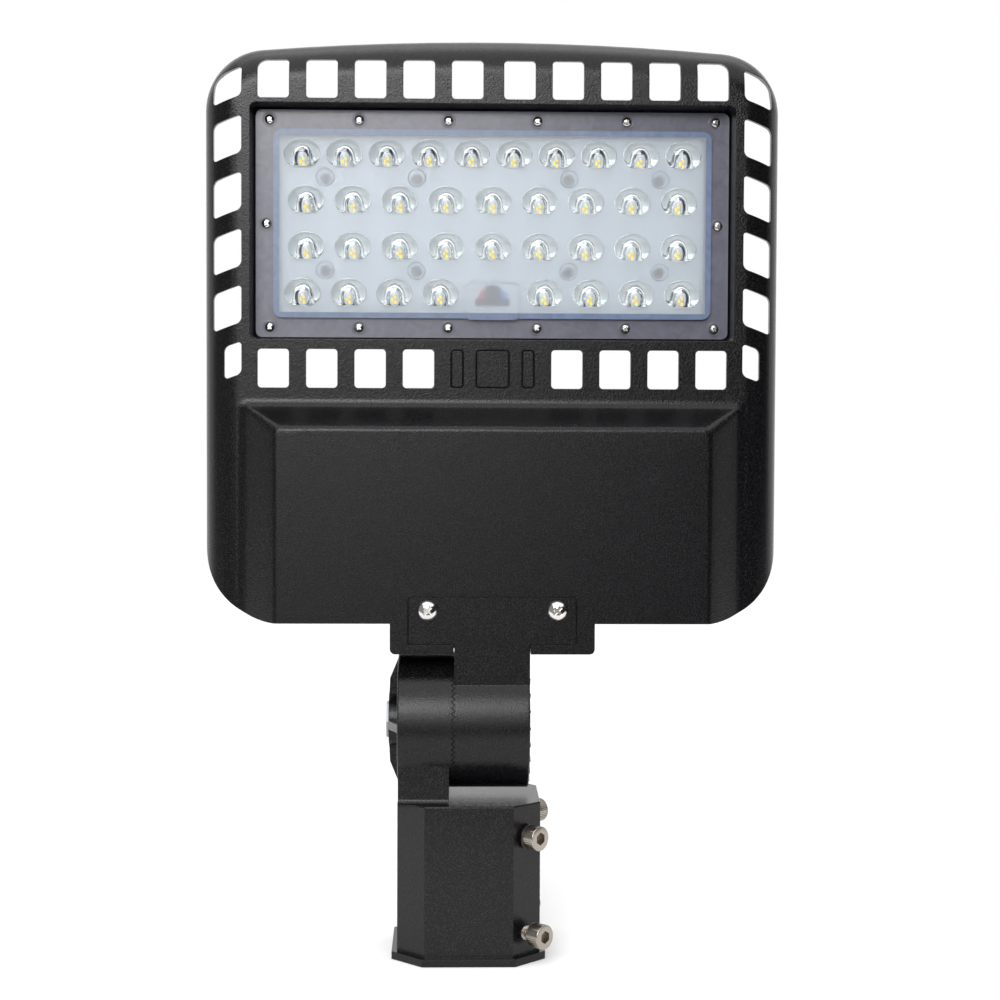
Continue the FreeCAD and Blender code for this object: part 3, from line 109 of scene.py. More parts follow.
# Spans of the studio's parts, each along one axis of a direction of length 1
CARD_SPAN = (-0.2, 0.2)
ABOVE_SPAN = (0.3, 0.45)
FLAG_SPAN = (-0.01, 0.08)
SIDE_SPAN = (-0.4, -0.1)
BACKDROP_SPAN = (-0.1, 0.6)
WHITE = (1, 1, 1, 1)
SENSOR_WIDTH = 36


def linear(hex_colour):
    """sRGB hex to the linear RGBA that Blender's sockets hold."""
    channels = []
    for start in (1, 3, 5):
        value = int(hex_colour[start:start + 2], 16) / 255
        channels.append(value / 12.92 if value <= 0.04045 else ((value + 0.055) / 1.055) ** 2.4)
    return channels + [1.0]


def colour_property(label, about, hex_colour):
    return bpy.props.FloatVectorProperty(name=label, description=about, subtype="COLOR", size=4, min=0, max=1,
                                         default=linear(hex_colour))


def length_property(label, about, size_mm):
    return bpy.props.FloatProperty(name=label, description=about, unit="LENGTH", min=0, default=size_mm * MM)


def level_property(label, about, level):
    return bpy.props.FloatProperty(name=label, description=about, min=0, default=level)


def angle_property(label, about, degrees):
    return bpy.props.FloatProperty(name=label, description=about, subtype="ANGLE",
                                   default=math.radians(degrees))


class StreetLightColours(bpy.types.PropertyGroup):
    """Colours of the finishes."""

    coat: colour_property("Powder coat", "Black powder coat of the castings", "#0c0c0d")
    coat_speck: colour_property("Coat speck", "Lighter grains in the powder coat", "#252427")
    nickel: colour_property("Nickel", "Plating of the clamp screws", "#a29b92")
    zinc: colour_property("Zinc", "Plating of the bolt, nut and rear screws", "#9b9da1")
    stainless: colour_property("Stainless", "Pan-head screws on lens and bracket", "#d5d2cf")
    blackened: colour_property("Blackened steel", "Screws of the LED board", "#5f5a55")
    brass: colour_property("Brass", "Earth screw", "#c9a25a")
    frosted: colour_property("Frosted optic", "Etched face of the lens panel", "#dae2eb")
    clear: colour_property("Clear optic", "Clear domes of the lens panel", "#f4f8fa")
    border: colour_property("Lens border", "Hazy rim of the lens panel over its gasket", "#6b6b79")
    wall: colour_property("Lens wall", "Wall of the optic, seen edge on", "#6c7c9b")
    board: colour_property("LED board", "White solder mask", "#f2f5f6")
    package: colour_property("LED package", "White packages of the LEDs", "#efefe6")
    phosphor: colour_property("Phosphor", "Yellow emitters", "#ffd000")
    thermal_pad: colour_property("Thermal pad", "Silicone pad under the board", "#a7abb0")
    lens_gasket: colour_property("Lens gasket", "Silicone gasket under the lens panel", "#7c7b83")
    connector: colour_property("Connector", "Nylon connector on the board", "#2a2a2e")
    lead_red: colour_property("Red lead", "Insulation of the red lead", "#f02a2e")
    lead_blue: colour_property("Blue lead", "Insulation of the blue lead", "#1f86d8")
    rubber: colour_property("Rubber", "Gaskets and grommet of the driver bay", "#1d1d1e")
    driver_case: colour_property("Driver case", "Drawn aluminium case of the driver", "#c3c5c8")
    terminal: colour_property("Terminal", "Nylon terminal block", "#e3e2dc")
    floor: colour_property("Floor", "Pale studio floor", "#f6f6f6")


class StreetLightSizes(bpy.types.PropertyGroup):
    """Sizes of the details that the finishes and screws need."""

    coat_grain: length_property("Coat grain", "Grain of the powder coat's texture", 0.65)
    coat_edge: length_property("Coat edge", "Radius that the coat gives to a sharp edge", 0.6)
    coat_height: length_property("Coat height", "Height of the powder coat's texture", 0.12)
    blind_half_width: length_property("Blind half width", "Half the width of the panels below the lens", 24)
    blind_top: length_property("Blind top", "Top of the blind panels, below the lens panel", 4)
    blind_foot: length_property("Blind foot", "Foot of the blind panels, below the lens panel", 31)
    groove_depth: length_property("Groove depth", "Depth of the grooves round the blind panels", 0.6)
    dome_half_width: length_property("Dome half width", "Half the width of one dome lens", 9.75)
    dome_half_height: length_property("Dome half height", "Half the height of one dome lens", 8.0)
    led_drop: length_property("LED drop", "Distance of an LED below the middle of its dome", 2.3)
    window_drop: length_property("Window drop", "Drop of the lens window below the optic", 0.8)
    window_half_width: length_property("Window half width", "Half the width of the lens window", 14.9)
    window_height: length_property("Window height", "Height of the lens window", 20.4)
    window_corner: length_property("Window corner", "Corner radius of the lens window", 3.5)
    window_rise: length_property("Window rise", "Height of the lens window's rim over the optic", 0.3)
    window_rim: length_property("Window rim", "Width of the lens window's rim", 0.8)
    border_width: length_property("Border width", "Width of the lens border beside the optic", 9.6)
    border_height: length_property("Border height", "Width of the border above and below the optic", 10.4)
    optic_rise: length_property("Optic rise", "Height of the optic over the border", 2.0)
    lens_head_height: length_property("Lens screw head", "Height of a lens screw's head", 1.9)
    lens_ring: length_property("Lens ring", "Radius of the moulded ring round a lens screw", 3.5)
    lens_ring_width: length_property("Lens ring width", "Width of that ring", 0.7)
    lens_ring_height: length_property("Lens ring height", "Thickness of that ring", 0.5)
    boss_ring: length_property("Boss ring", "Radius of the moulded ring over a board screw", 4.6)
    boss_ring_width: length_property("Boss ring width", "Width of that ring", 0.8)
    boss_ring_height: length_property("Boss ring height", "Thickness of that ring", 0.3)
    clamp_head: length_property("Clamp head radius", "Radius of a clamp screw's head", 6.5)
    clamp_head_height: length_property("Clamp head height", "Height of a clamp screw's head", 8.0)
    clamp_thread: length_property("Clamp thread radius", "Outer radius of a clamp screw's thread", 4.0)
    clamp_length: length_property("Clamp thread length", "Length of a clamp screw's thread", 13.2)
    clamp_head_round: length_property("Clamp head round", "Rounding of a clamp screw's head", 0.6)
    clamp_key: length_property("Clamp key", "Width across the flats of a clamp screw's socket", 6.0)
    knurl_depth: length_property("Knurl depth", "Depth of the grooves round a clamp screw's head", 0.3)
    clamp_pitch: length_property("Clamp thread pitch", "Pitch of a clamp screw's thread", 1.25)
    knurl_count: bpy.props.IntProperty(name="Knurls", description="Grooves round a clamp screw's head",
                                       default=36, min=6)


class StreetLightCamera(bpy.types.PropertyGroup):
    """Camera fitted to the photograph."""

    place: bpy.props.FloatVectorProperty(name="Place", description="Where the camera stands", size=3,
                                         subtype="TRANSLATION", unit="LENGTH",
                                         default=(-0.010387, -1.026193, 0.283612))
    lens: bpy.props.FloatProperty(name="Lens", description="Focal length on a 36 mm sensor", default=68.4)
    yaw: bpy.props.FloatProperty(name="Yaw", description="Turn about the upright axis", subtype="ANGLE",
                                 default=-0.02617)
    pitch: bpy.props.FloatProperty(name="Pitch", description="Downward tilt", subtype="ANGLE",
                                   default=0.03909)
    roll: bpy.props.FloatProperty(name="Roll", description="Turn about the line of sight", subtype="ANGLE",
                                  default=0.00424)


class StreetLightStudio(bpy.types.PropertyGroup):
    """Levels of the studio light."""

    softbox_level: level_property("Softbox", "Brightness of the softbox over the camera", 8.5)
    overhead_level: level_property("Overhead", "Strength of the wide light from above", 2.6)
    front_level: level_property("Front", "Light from the studio above the card", 0.6)
    card_level: level_property("Card", "Light from the top of the white card behind the camera", 4.6)
    card_foot_level: level_property("Card foot", "Light from the foot of that card", 0.1)
    flag_level: level_property("Flag", "Light from the dark right side of the studio", 0.02)
    side_level: level_property("Side", "Light from the dim left side of the studio", 0.3)
    back_level: level_property("Backdrop", "Light from the white backdrop", 0.62)
    floor_level: level_property("Floor", "Glow that keeps the pale floor white", 0.1)
    floor_side: length_property("Floor side", "Side of the square floor", 2600)
    floor_front: length_property("Floor front", "Floor in front of the light, up to the dim studio", 400)
    softbox_width: length_property("Softbox width", "Width of the softbox", 1300)
    softbox_height: length_property("Softbox height", "Height of the softbox", 750)
    softbox_distance: length_property("Softbox distance", "Distance of the softbox from the lamp", 2200)
    softbox_side: angle_property("Softbox side", "Turn of the softbox to the right", -13)
    softbox_rise: angle_property("Softbox rise", "Angle of the softbox above the floor", 27)
    overhead_rise: angle_property("Overhead rise", "Angle of the wide light above the floor", 76)
    overhead_side: angle_property("Overhead side", "Turn of the wide light to the right", 20)
    overhead_spread: angle_property("Overhead spread", "Angle that the wide light fills", 90)


def add_node(tree, kind, links=None, **settings):
    """One node with its settings; links maps an input's name to the socket that feeds it."""
    node = tree.nodes.new(kind)
    for name, value in settings.items():
        if hasattr(node, name):
            setattr(node, name, value)
        else:
            node.inputs[name.replace("_", " ")].default_value = value
    for name, socket in (links or {}).items():
        tree.links.new(socket, node.inputs[name])
    return node


def new_material(name):
    """Empty node material, and its tree."""
    material = bpy.data.materials.new(name)
    material.use_nodes = True
    material.node_tree.nodes.clear()
    return material, material.node_tree


def close_material(tree, shader):
    """The shader becomes the material's surface."""
    add_node(tree, "ShaderNodeOutputMaterial", {"Surface": shader.outputs[0]})


def noise(tree, grain, detail, **settings):
    """Noise of a grain size, fixed to the object."""
    place = add_node(tree, "ShaderNodeTexCoord").outputs["Object"]
    texture = add_node(tree, "ShaderNodeTexNoise", {"Vector": place},
                       Scale=1 / grain, Detail=detail, **settings)
    return texture.outputs["Fac"]


def between(tree, factor, low, high):
    """Value that goes from low to high with a factor."""
    span = add_node(tree, "ShaderNodeMapRange", {"Value": factor}, To_Min=low, To_Max=high)
    return span.outputs["Result"]


def varied(tree, factor, middle, share):
    """Value that a factor moves by a share of it to either side."""
    return between(tree, factor, middle * (1 - share), middle * (1 + share))


def tinted(tree, factor, first, second):
    """Colour that goes from the first to the second with a factor."""
    mix = add_node(tree, "ShaderNodeMix", {"Factor": factor}, data_type="RGBA")
    mix.inputs[MIX_FIRST].default_value = first
    mix.inputs[MIX_SECOND].default_value = second
    return mix.outputs[MIX_RESULT]


def powder_coat(name, smoothest, roughest, bend):
    """Polyester powder coat, fused to a fine orange-peel grain: black with soft speckled highlights."""
    colours = bpy.context.scene.street_light_colours
    sizes = bpy.context.scene.street_light_sizes
    material, tree = new_material(name)
    grain = noise(tree, sizes.coat_grain, detail=1.0)
    speck = add_node(tree, "ShaderNodeMapRange", {"Value": grain},
                     From_Min=SPECK_SPAN[0], From_Max=SPECK_SPAN[1])
    rounded = add_node(tree, "ShaderNodeBevel", Radius=sizes.coat_edge)
    bump = add_node(tree, "ShaderNodeBump", {
        "Height": grain,
        "Normal": rounded.outputs["Normal"],
    }, Strength=1.0, Distance=sizes.coat_height)
    shader = add_node(tree, "ShaderNodeBsdfPrincipled", {
        "Base Color": tinted(tree, speck.outputs["Result"], colours.coat, colours.coat_speck),
        "Roughness": between(tree, grain, smoothest, roughest),
        "Normal": bump.outputs["Normal"],
    }, IOR=bend)
    close_material(tree, shader)
    return material


def plated_metal(name, colour, roughness, mark_mm):
    """Plated or bright metal: clean mirror colour, broken by fine tool marks."""
    material, tree = new_material(name)
    marks = noise(tree, mark_mm * MM, detail=4.0)
    bump = add_node(tree, "ShaderNodeBump", {"Height": marks}, Strength=0.08, Distance=0.02 * MM)
    shader = add_node(tree, "ShaderNodeBsdfPrincipled", {
        "Roughness": varied(tree, marks, roughness, share=0.25),
        "Normal": bump.outputs["Normal"],
    }, Base_Color=colour, Metallic=1.0)
    close_material(tree, shader)
    return material


def moulded(name, colour, roughness, grain_mm, height_mm):
    """Moulded plastic, silicone or rubber: even colour with a faint moulding grain."""
    material, tree = new_material(name)
    grain = noise(tree, grain_mm * MM, detail=2.0)
    bump = add_node(tree, "ShaderNodeBump", {"Height": grain}, Strength=0.2, Distance=height_mm * MM)
    shader = add_node(tree, "ShaderNodeBsdfPrincipled", {
        "Roughness": varied(tree, grain, roughness, share=0.1),
        "Normal": bump.outputs["Normal"],
    }, Base_Color=colour)
    close_material(tree, shader)
    return material


def phosphor(colour):
    """Phosphor in silicone: a strong yellow with a painted glow, an emission that stands in for the yellow
    light it makes from blue light.
    """
    material, tree = new_material("phosphor_silicone_painted_glow")
    grain = noise(tree, grain=0.3 * MM, detail=2.0)
    # Painted glow: emission that makes the phosphor shine by itself, varied by the grain
    painted_glow = varied(tree, grain, middle=1.0, share=0.2)
    shader = add_node(tree, "ShaderNodeBsdfPrincipled", {"Emission Strength": painted_glow},
                      Base_Color=colour, Roughness=0.4, Emission_Color=colour)
    close_material(tree, shader)
    return material


def polycarbonate(name, colour, face_alpha, edge_alpha, roughness):
    """Hazy moulded polycarbonate: it lets a little through, less where seen edge on, and has flow marks."""
    darker, lighter = 0.7, 1.3
    material, tree = new_material(name)
    flow = noise(tree, grain=7 * MM, detail=3.0, Distortion=1.0)
    dark = [darker * channel for channel in colour[:3]] + [1.0]
    light = [min(1.0, lighter * channel) for channel in colour[:3]] + [1.0]
    facing = add_node(tree, "ShaderNodeLayerWeight", Blend=0.35)
    shader = add_node(tree, "ShaderNodeBsdfPrincipled", {
        "Base Color": tinted(tree, flow, dark, light),
        "Roughness": varied(tree, flow, roughness, share=0.2),
        "Alpha": between(tree, facing.outputs["Facing"], face_alpha, edge_alpha),
    }, IOR=POLYCARBONATE_IOR)
    close_material(tree, shader)
    return material


def optic(name, colour, roughness, clearness):
    """Clear polycarbonate that bends the light: domes make an LED look ringed, frosting blurs it."""
    material, tree = new_material(name)
    cloud = noise(tree, grain=25 * MM, detail=2.0)
    gloss = varied(tree, cloud, roughness, share=0.05)
    shader = add_node(tree, "ShaderNodeBsdfPrincipled", {"Roughness": gloss},
                      Base_Color=colour, IOR=POLYCARBONATE_IOR, Transmission_Weight=clearness)
    close_material(tree, shader)
    return material


def deselect():
    """Object mode with nothing selected."""
    active = bpy.context.view_layer.objects.active
    if active is not None and active.mode != "OBJECT":
        bpy.ops.object.mode_set(mode="OBJECT")
    bpy.ops.object.select_all(action="DESELECT")


def activate(piece):
    """Object mode with only this piece selected."""
    deselect()
    piece.select_set(True)
    bpy.context.view_layer.objects.active = piece


def apply_modifier(piece, kind, **settings):
    modifier = piece.modifiers.new(kind.lower(), kind)
    for name, value in settings.items():
        setattr(modifier, name, value)
    activate(piece)
    bpy.ops.object.modifier_apply(modifier=modifier.name)


def body_of(node):
    for body, members in frame["record"]["behaviour"]["bodies"].items():
        if node in members:
            return body
    raise RuntimeError("no body holds " + node)


def settle(piece, node):
    """The piece stands for a node: it rides on the node's body, and the node is hidden."""
    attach(piece, body_of(node))
    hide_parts(node)


def merged_copy(node):
    """Copy of a node with its loose triangles merged."""
    piece = bpy.data.objects.new(node + "_finished", frame["nodes"][node].data.copy())
    bpy.context.scene.collection.objects.link(piece)
    activate(piece)
    bpy.ops.mesh.customdata_custom_splitnormals_clear()
    bpy.ops.object.mode_set(mode="EDIT")
    bpy.ops.mesh.select_all(action="SELECT")
    bpy.ops.mesh.remove_doubles(threshold=MERGE_DISTANCE)
    bpy.ops.object.mode_set(mode="OBJECT")
    return piece


def smooth(piece, crease):
    """Smooth curved faces and crisp edges."""
    activate(piece)
    bpy.ops.object.shade_smooth_by_angle(angle=math.radians(crease))
    apply_modifier(piece, "WEIGHTED_NORMAL", keep_sharp=True, weight=70)


def smooth_copy(node, crease):
    """Merged, smoothed copy that stands for its node."""
    piece = merged_copy(node)
    smooth(piece, crease)
    settle(piece, node)
    return piece


def select_faces(piece, wanted):
    """Edit mode with only the faces that pass the test selected."""
    activate(piece)
    bpy.ops.object.mode_set(mode="EDIT")
    bpy.ops.mesh.select_mode(type="FACE")
    bpy.ops.mesh.select_all(action="DESELECT")
    bpy.ops.object.mode_set(mode="OBJECT")
    for face in piece.data.polygons:
        face.select = wanted(face)
    bpy.ops.object.mode_set(mode="EDIT")


def dress(target, material):
    """One material all over."""
    target.data.materials.clear()
    target.data.materials.append(material)


def dress_node(node, material):
    """A node that stays as it is gets the material in its own slot."""
    part = frame["nodes"][node]
    if not part.material_slots:
        part.data.materials.append(material)
    for place in part.material_slots:
        place.material = material


def inside(place, low, high):
    """Whether a place lies in a box seen from the front."""
    across = low.x - BOX_MARGIN < place.x < high.x + BOX_MARGIN
    return across and low.z - BOX_MARGIN < place.z < high.z + BOX_MARGIN


def island_centres(mesh):
    """Middle of every loose part of a merged mesh."""
    leader = list(range(len(mesh.vertices)))

    def first_of(index):
        while leader[index] != index:
            index = leader[index]
        return index

    for edge in mesh.edges:
        leader[first_of(edge.vertices[0])] = first_of(edge.vertices[1])
    groups = {}
    for vertex in mesh.vertices:
        groups.setdefault(first_of(vertex.index), []).append(vertex.co)
    return [sum(places, Vector()) / len(places) for places in groups.values()]


def dome_centres(sizes):
    """Middle of every dome lens; each dome stands a little above its LED."""
    packages = merged_copy("led_packages")
    centres = [c + Vector((0, 0, sizes.led_drop)) for c in island_centres(packages.data)]
    bpy.data.objects.remove(packages)
    return centres


def within_dome(reach, centre, sizes):
    """Whether all corners of a face lie in a dome's outline."""
    for corner in reach:
        across = (corner.x - centre.x) / sizes.dome_half_width
        up = (corner.z - centre.z) / sizes.dome_half_height
        if across * across + up * up > DOME_TOLERANCE:
            return False
    return True


def model_ring(name, radius, width, height):
    """Rounded flat ring about the Y axis, spun from its section."""
    deselect()
    bpy.ops.mesh.primitive_plane_add(size=1)
    ring = bpy.context.object
    ring.name = name
    bpy.ops.object.mode_set(mode="EDIT")
    bpy.ops.mesh.select_all(action="SELECT")
    bpy.ops.transform.resize(value=(width, height, 1))
    bpy.ops.mesh.bevel(offset=height * RING_ROUNDING, segments=2, affect="VERTICES")
    bpy.ops.mesh.select_all(action="SELECT")
    bpy.ops.transform.translate(value=(radius, 0, 0))
    bpy.ops.mesh.delete(type="ONLY_FACE")
    bpy.ops.mesh.select_all(action="SELECT")
    bpy.ops.mesh.spin(steps=RING_STEPS, angle=2 * math.pi, center=(0, 0, 0), axis=(0, 1, 0))
    bpy.ops.mesh.select_all(action="SELECT")
    bpy.ops.mesh.remove_doubles(threshold=MERGE_DISTANCE)
    bpy.ops.mesh.normals_make_consistent(inside=False)
    bpy.ops.object.mode_set(mode="OBJECT")
    bpy.ops.object.shade_smooth_by_angle(angle=math.radians(RING_CREASE))
    return ring


class LIGHT_OT_castings(bpy.types.Operator):
    """Finish the powder-coated castings: fitter, bracket, housing and rear cover"""

    bl_idname = "street_light.castings"
    bl_label = "Castings"

    def execute(self, context):
        coat = powder_coat("black_powder_coat", smoothest=0.13, roughest=0.26, bend=1.34)
        for node in ("slip_fitter", "tilt_bracket", "rear_cover"):
            dress(smooth_copy(node, CASTING_CREASE), coat)
        housing = smooth_copy("housing", CASTING_CREASE)
        dress(housing, coat)
        # Painted shade: a dull, weakly reflecting coat that darkens the grooves
        groove_shade_coat = powder_coat("groove_painted_shade_coat", smoothest=0.6, roughest=0.75, bend=1.15)
        housing.data.materials.append(groove_shade_coat)
        self.paint_shade_in_grooves(housing, context.scene.street_light_sizes)
        return {"FINISHED"}

    def paint_shade_in_grooves(self, housing, sizes):
        """Painted shade in the grooves round the blind panels below the lens: a dull coat that reflects less,
        so they read dark.
        """
        low = Vector((LENS_X - sizes.blind_half_width, 0, lens_low.z - sizes.blind_foot))
        high = Vector((LENS_X + sizes.blind_half_width, 0, lens_low.z - sizes.blind_top))
        faces = [face for face in housing.data.polygons if inside(face.center, low, high)]
        front = min(face.center.y for face in faces)
        for face in faces:
            # Faces in the grooves take the painted-shade coat
            if GROOVE_MARGIN < face.center.y - front < sizes.groove_depth + GROOVE_MARGIN:
                face.material_index = 1


class LIGHT_OT_lens_panel(bpy.types.Operator):
    """Finish the lens panel: hazy rim, tinted wall, frosted optic and clear domes, with its moulded rings"""

    bl_idname = "street_light.lens_panel"
    bl_label = "Lens panel"

    def execute(self, context):
        colours = context.scene.street_light_colours
        sizes = context.scene.street_light_sizes
        rim = polycarbonate("clear_polycarbonate_rim", colours.border,
                            face_alpha=0.88, edge_alpha=0.96, roughness=0.22)
        wall = polycarbonate("clear_polycarbonate_wall", colours.wall,
                             face_alpha=0.9, edge_alpha=0.96, roughness=0.25)
        dome = optic("clear_polycarbonate_dome", colours.clear, roughness=0.03, clearness=1.0)
        frosted = optic("frosted_polycarbonate", colours.frosted, roughness=0.4, clearness=0.75)
        panel = merged_copy("lens_panel")
        self.cut_board_outline(panel)
        smooth(panel, MOULDED_CREASE)
        settle(panel, "lens_panel")
        panel.data.materials.clear()
        for material in (rim, wall, dome, frosted):
            panel.data.materials.append(material)
        seat_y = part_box("lens_screws")[0].y + sizes.lens_head_height
        self.sort_faces(panel, sizes, seat_y)
        ring = model_ring("lens_screw_rings", sizes.lens_ring, sizes.lens_ring_width, sizes.lens_ring_height)
        self.settle_rings(ring, "lens_screws", seat_y, rim)
        ring = model_ring("board_screw_rings", sizes.boss_ring, sizes.boss_ring_width, sizes.boss_ring_height)
        self.settle_rings(ring, "board_screws", seat_y - sizes.optic_rise, frosted)
        self.model_window(sizes, seat_y - sizes.optic_rise, frosted)
        return {"FINISHED"}

    def cut_board_outline(self, panel):
        """Edges in the panel along the outline of the white board behind it."""
        low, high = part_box("led_board")
        activate(panel)
        bpy.ops.object.mode_set(mode="EDIT")
        for place in (low, high):
            for way in ((1, 0, 0), (0, 0, 1)):
                bpy.ops.mesh.select_all(action="SELECT")
                bpy.ops.mesh.bisect(plane_co=place, plane_no=way)
        bpy.ops.object.mode_set(mode="OBJECT")

    def sort_faces(self, panel, sizes, seat_y):
        """Each face gets its material: rim, wall round the board, clear domes and back, frosted front."""
        board_low, board_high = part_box("led_board")
        optic_low = lens_low + Vector((sizes.border_width, 0, sizes.border_height))
        optic_high = lens_high - Vector((sizes.border_width, 0, sizes.border_height))
        window_low = Vector((LENS_X - sizes.window_half_width, 0, optic_low.z - sizes.window_drop))
        window_high = Vector((LENS_X + sizes.window_half_width, 0, LENS_Z))
        centres = dome_centres(sizes)
        for face in panel.data.polygons:
            middle = face.center
            is_front = face.normal.y < -FACING
            if is_front and abs(middle.y - seat_y) < sizes.optic_rise / 4:
                face.material_index = RIM
            elif inside(middle, board_low, board_high):
                reach = [panel.data.vertices[index].co for index in face.vertices]
                in_dome = any(within_dome(reach, centre, sizes) for centre in centres)
                face.material_index = FROSTED if is_front and not in_dome else DOME
            elif inside(middle, optic_low, optic_high) or inside(middle, window_low, window_high):
                face.material_index = WALL
            else:
                face.material_index = RIM

    def settle_rings(self, ring, node, seat_y, material):
        """The ring goes round every screw of a node, all in one piece."""
        screws = merged_copy(node)
        places = [Vector((c.x, seat_y, c.z)) for c in island_centres(screws.data)]
        bpy.data.objects.remove(screws)
        copies = []
        for place in places[1:]:
            copy = bpy.data.objects.new(ring.name, ring.data.copy())
            bpy.context.scene.collection.objects.link(copy)
            copy.location = place
            copies.append(copy)
        ring.location = places[0]
        activate(ring)
        for copy in copies:
            copy.select_set(True)
        bpy.ops.object.join()
        bpy.ops.object.transform_apply(location=True)
        dress(ring, material)
        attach(ring, body_of("lens_panel"))

    def model_window(self, sizes, seat_y, material):
        """Raised rim round the place where the leads reach the board."""
        deselect()
        bpy.ops.mesh.primitive_plane_add(size=1, rotation=(math.pi / 2, 0, 0))
        window = bpy.context.object
        window.name = "lens_window"
        bpy.ops.object.transform_apply(rotation=True)
        bpy.ops.object.mode_set(mode="EDIT")
        bpy.ops.mesh.select_all(action="SELECT")
        bpy.ops.transform.resize(value=(2 * sizes.window_half_width, 1, sizes.window_height))
        bpy.ops.mesh.bevel(offset=sizes.window_corner, segments=6, affect="VERTICES")
        bpy.ops.mesh.select_all(action="SELECT")
        bpy.ops.mesh.inset(thickness=sizes.window_rim)
        bpy.ops.mesh.delete(type="FACE")
        bpy.ops.mesh.select_all(action="SELECT")
        bpy.ops.mesh.extrude_region_move(TRANSFORM_OT_translate={"value": (0, -sizes.window_rise, 0)})
        bpy.ops.mesh.select_all(action="SELECT")
        bpy.ops.mesh.normals_make_consistent(inside=False)
        foot = lens_low.z + sizes.border_height - sizes.window_drop
        bpy.ops.transform.translate(value=(LENS_X, seat_y - WINDOW_SINK, foot + sizes.window_height / 2))
        bpy.ops.object.mode_set(mode="OBJECT")
        bpy.ops.object.shade_smooth_by_angle(angle=math.radians(MOULDED_CREASE))
        dress(window, material)
        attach(window, body_of("lens_panel"))


class LIGHT_OT_led_board(bpy.types.Operator):
    """Finish what lies behind the lens: board, LEDs, connector, leads, pad and gasket"""

    bl_idname = "street_light.led_board"
    bl_label = "LED board"

    def execute(self, context):
        colours = context.scene.street_light_colours
        finishes = {
            "led_board": moulded("white_solder_mask", colours.board,
                                 roughness=0.35, grain_mm=0.8, height_mm=0.01),
            "led_packages": moulded("white_moulding_compound", colours.package,
                                    roughness=0.3, grain_mm=0.5, height_mm=0.01),
            "led_phosphor": phosphor(colours.phosphor),
            "thermal_pad": moulded("thermal_silicone_pad", colours.thermal_pad,
                                   roughness=0.7, grain_mm=1.0, height_mm=0.05),
            "lens_gasket": moulded("grey_silicone", colours.lens_gasket,
                                   roughness=0.6, grain_mm=1.2, height_mm=0.03),
            "board_connector": moulded("black_nylon", colours.connector,
                                       roughness=0.45, grain_mm=0.6, height_mm=0.02),
        }
        for node, material in finishes.items():
            dress_node(node, material)
        for node, colour in (("lead_red", colours.lead_red), ("lead_blue", colours.lead_blue)):
            material = moulded(node + "_silicone", colour, roughness=0.5, grain_mm=0.7, height_mm=0.02)
            dress(smooth_copy(node, LEAD_CREASE), material)
        return {"FINISHED"}


class LIGHT_OT_fasteners(bpy.types.Operator):
    """Finish the screws of lens, bracket, board, driver and rear, and the pivot bolt with nut and washers"""

    bl_idname = "street_light.fasteners"
    bl_label = "Fasteners"

    def execute(self, context):
        colours = context.scene.street_light_colours
        bright = plated_metal("bright_stainless_steel", colours.stainless, roughness=0.16, mark_mm=0.6)
        zinc = plated_metal("zinc_plated_steel", colours.zinc, roughness=0.32, mark_mm=0.8)
        blackened = plated_metal("blackened_steel", colours.blackened, roughness=0.4, mark_mm=0.6)
        brass = plated_metal("turned_brass", colours.brass, roughness=0.25, mark_mm=0.6)
        for material, nodes in (
            (bright, ("lens_screws", "bracket_screws")),
            (blackened, ("board_screws",)),
            (zinc, ("rear_screws", "driver_screws")),
            (zinc, ("pivot_bolt", "pivot_nut", "pivot_washer", "pivot_lock_washer")),
            (brass, ("earth_screw",)),
        ):
            for node in nodes:
                dress(smooth_copy(node, SCREW_CREASE), material)
        return {"FINISHED"}


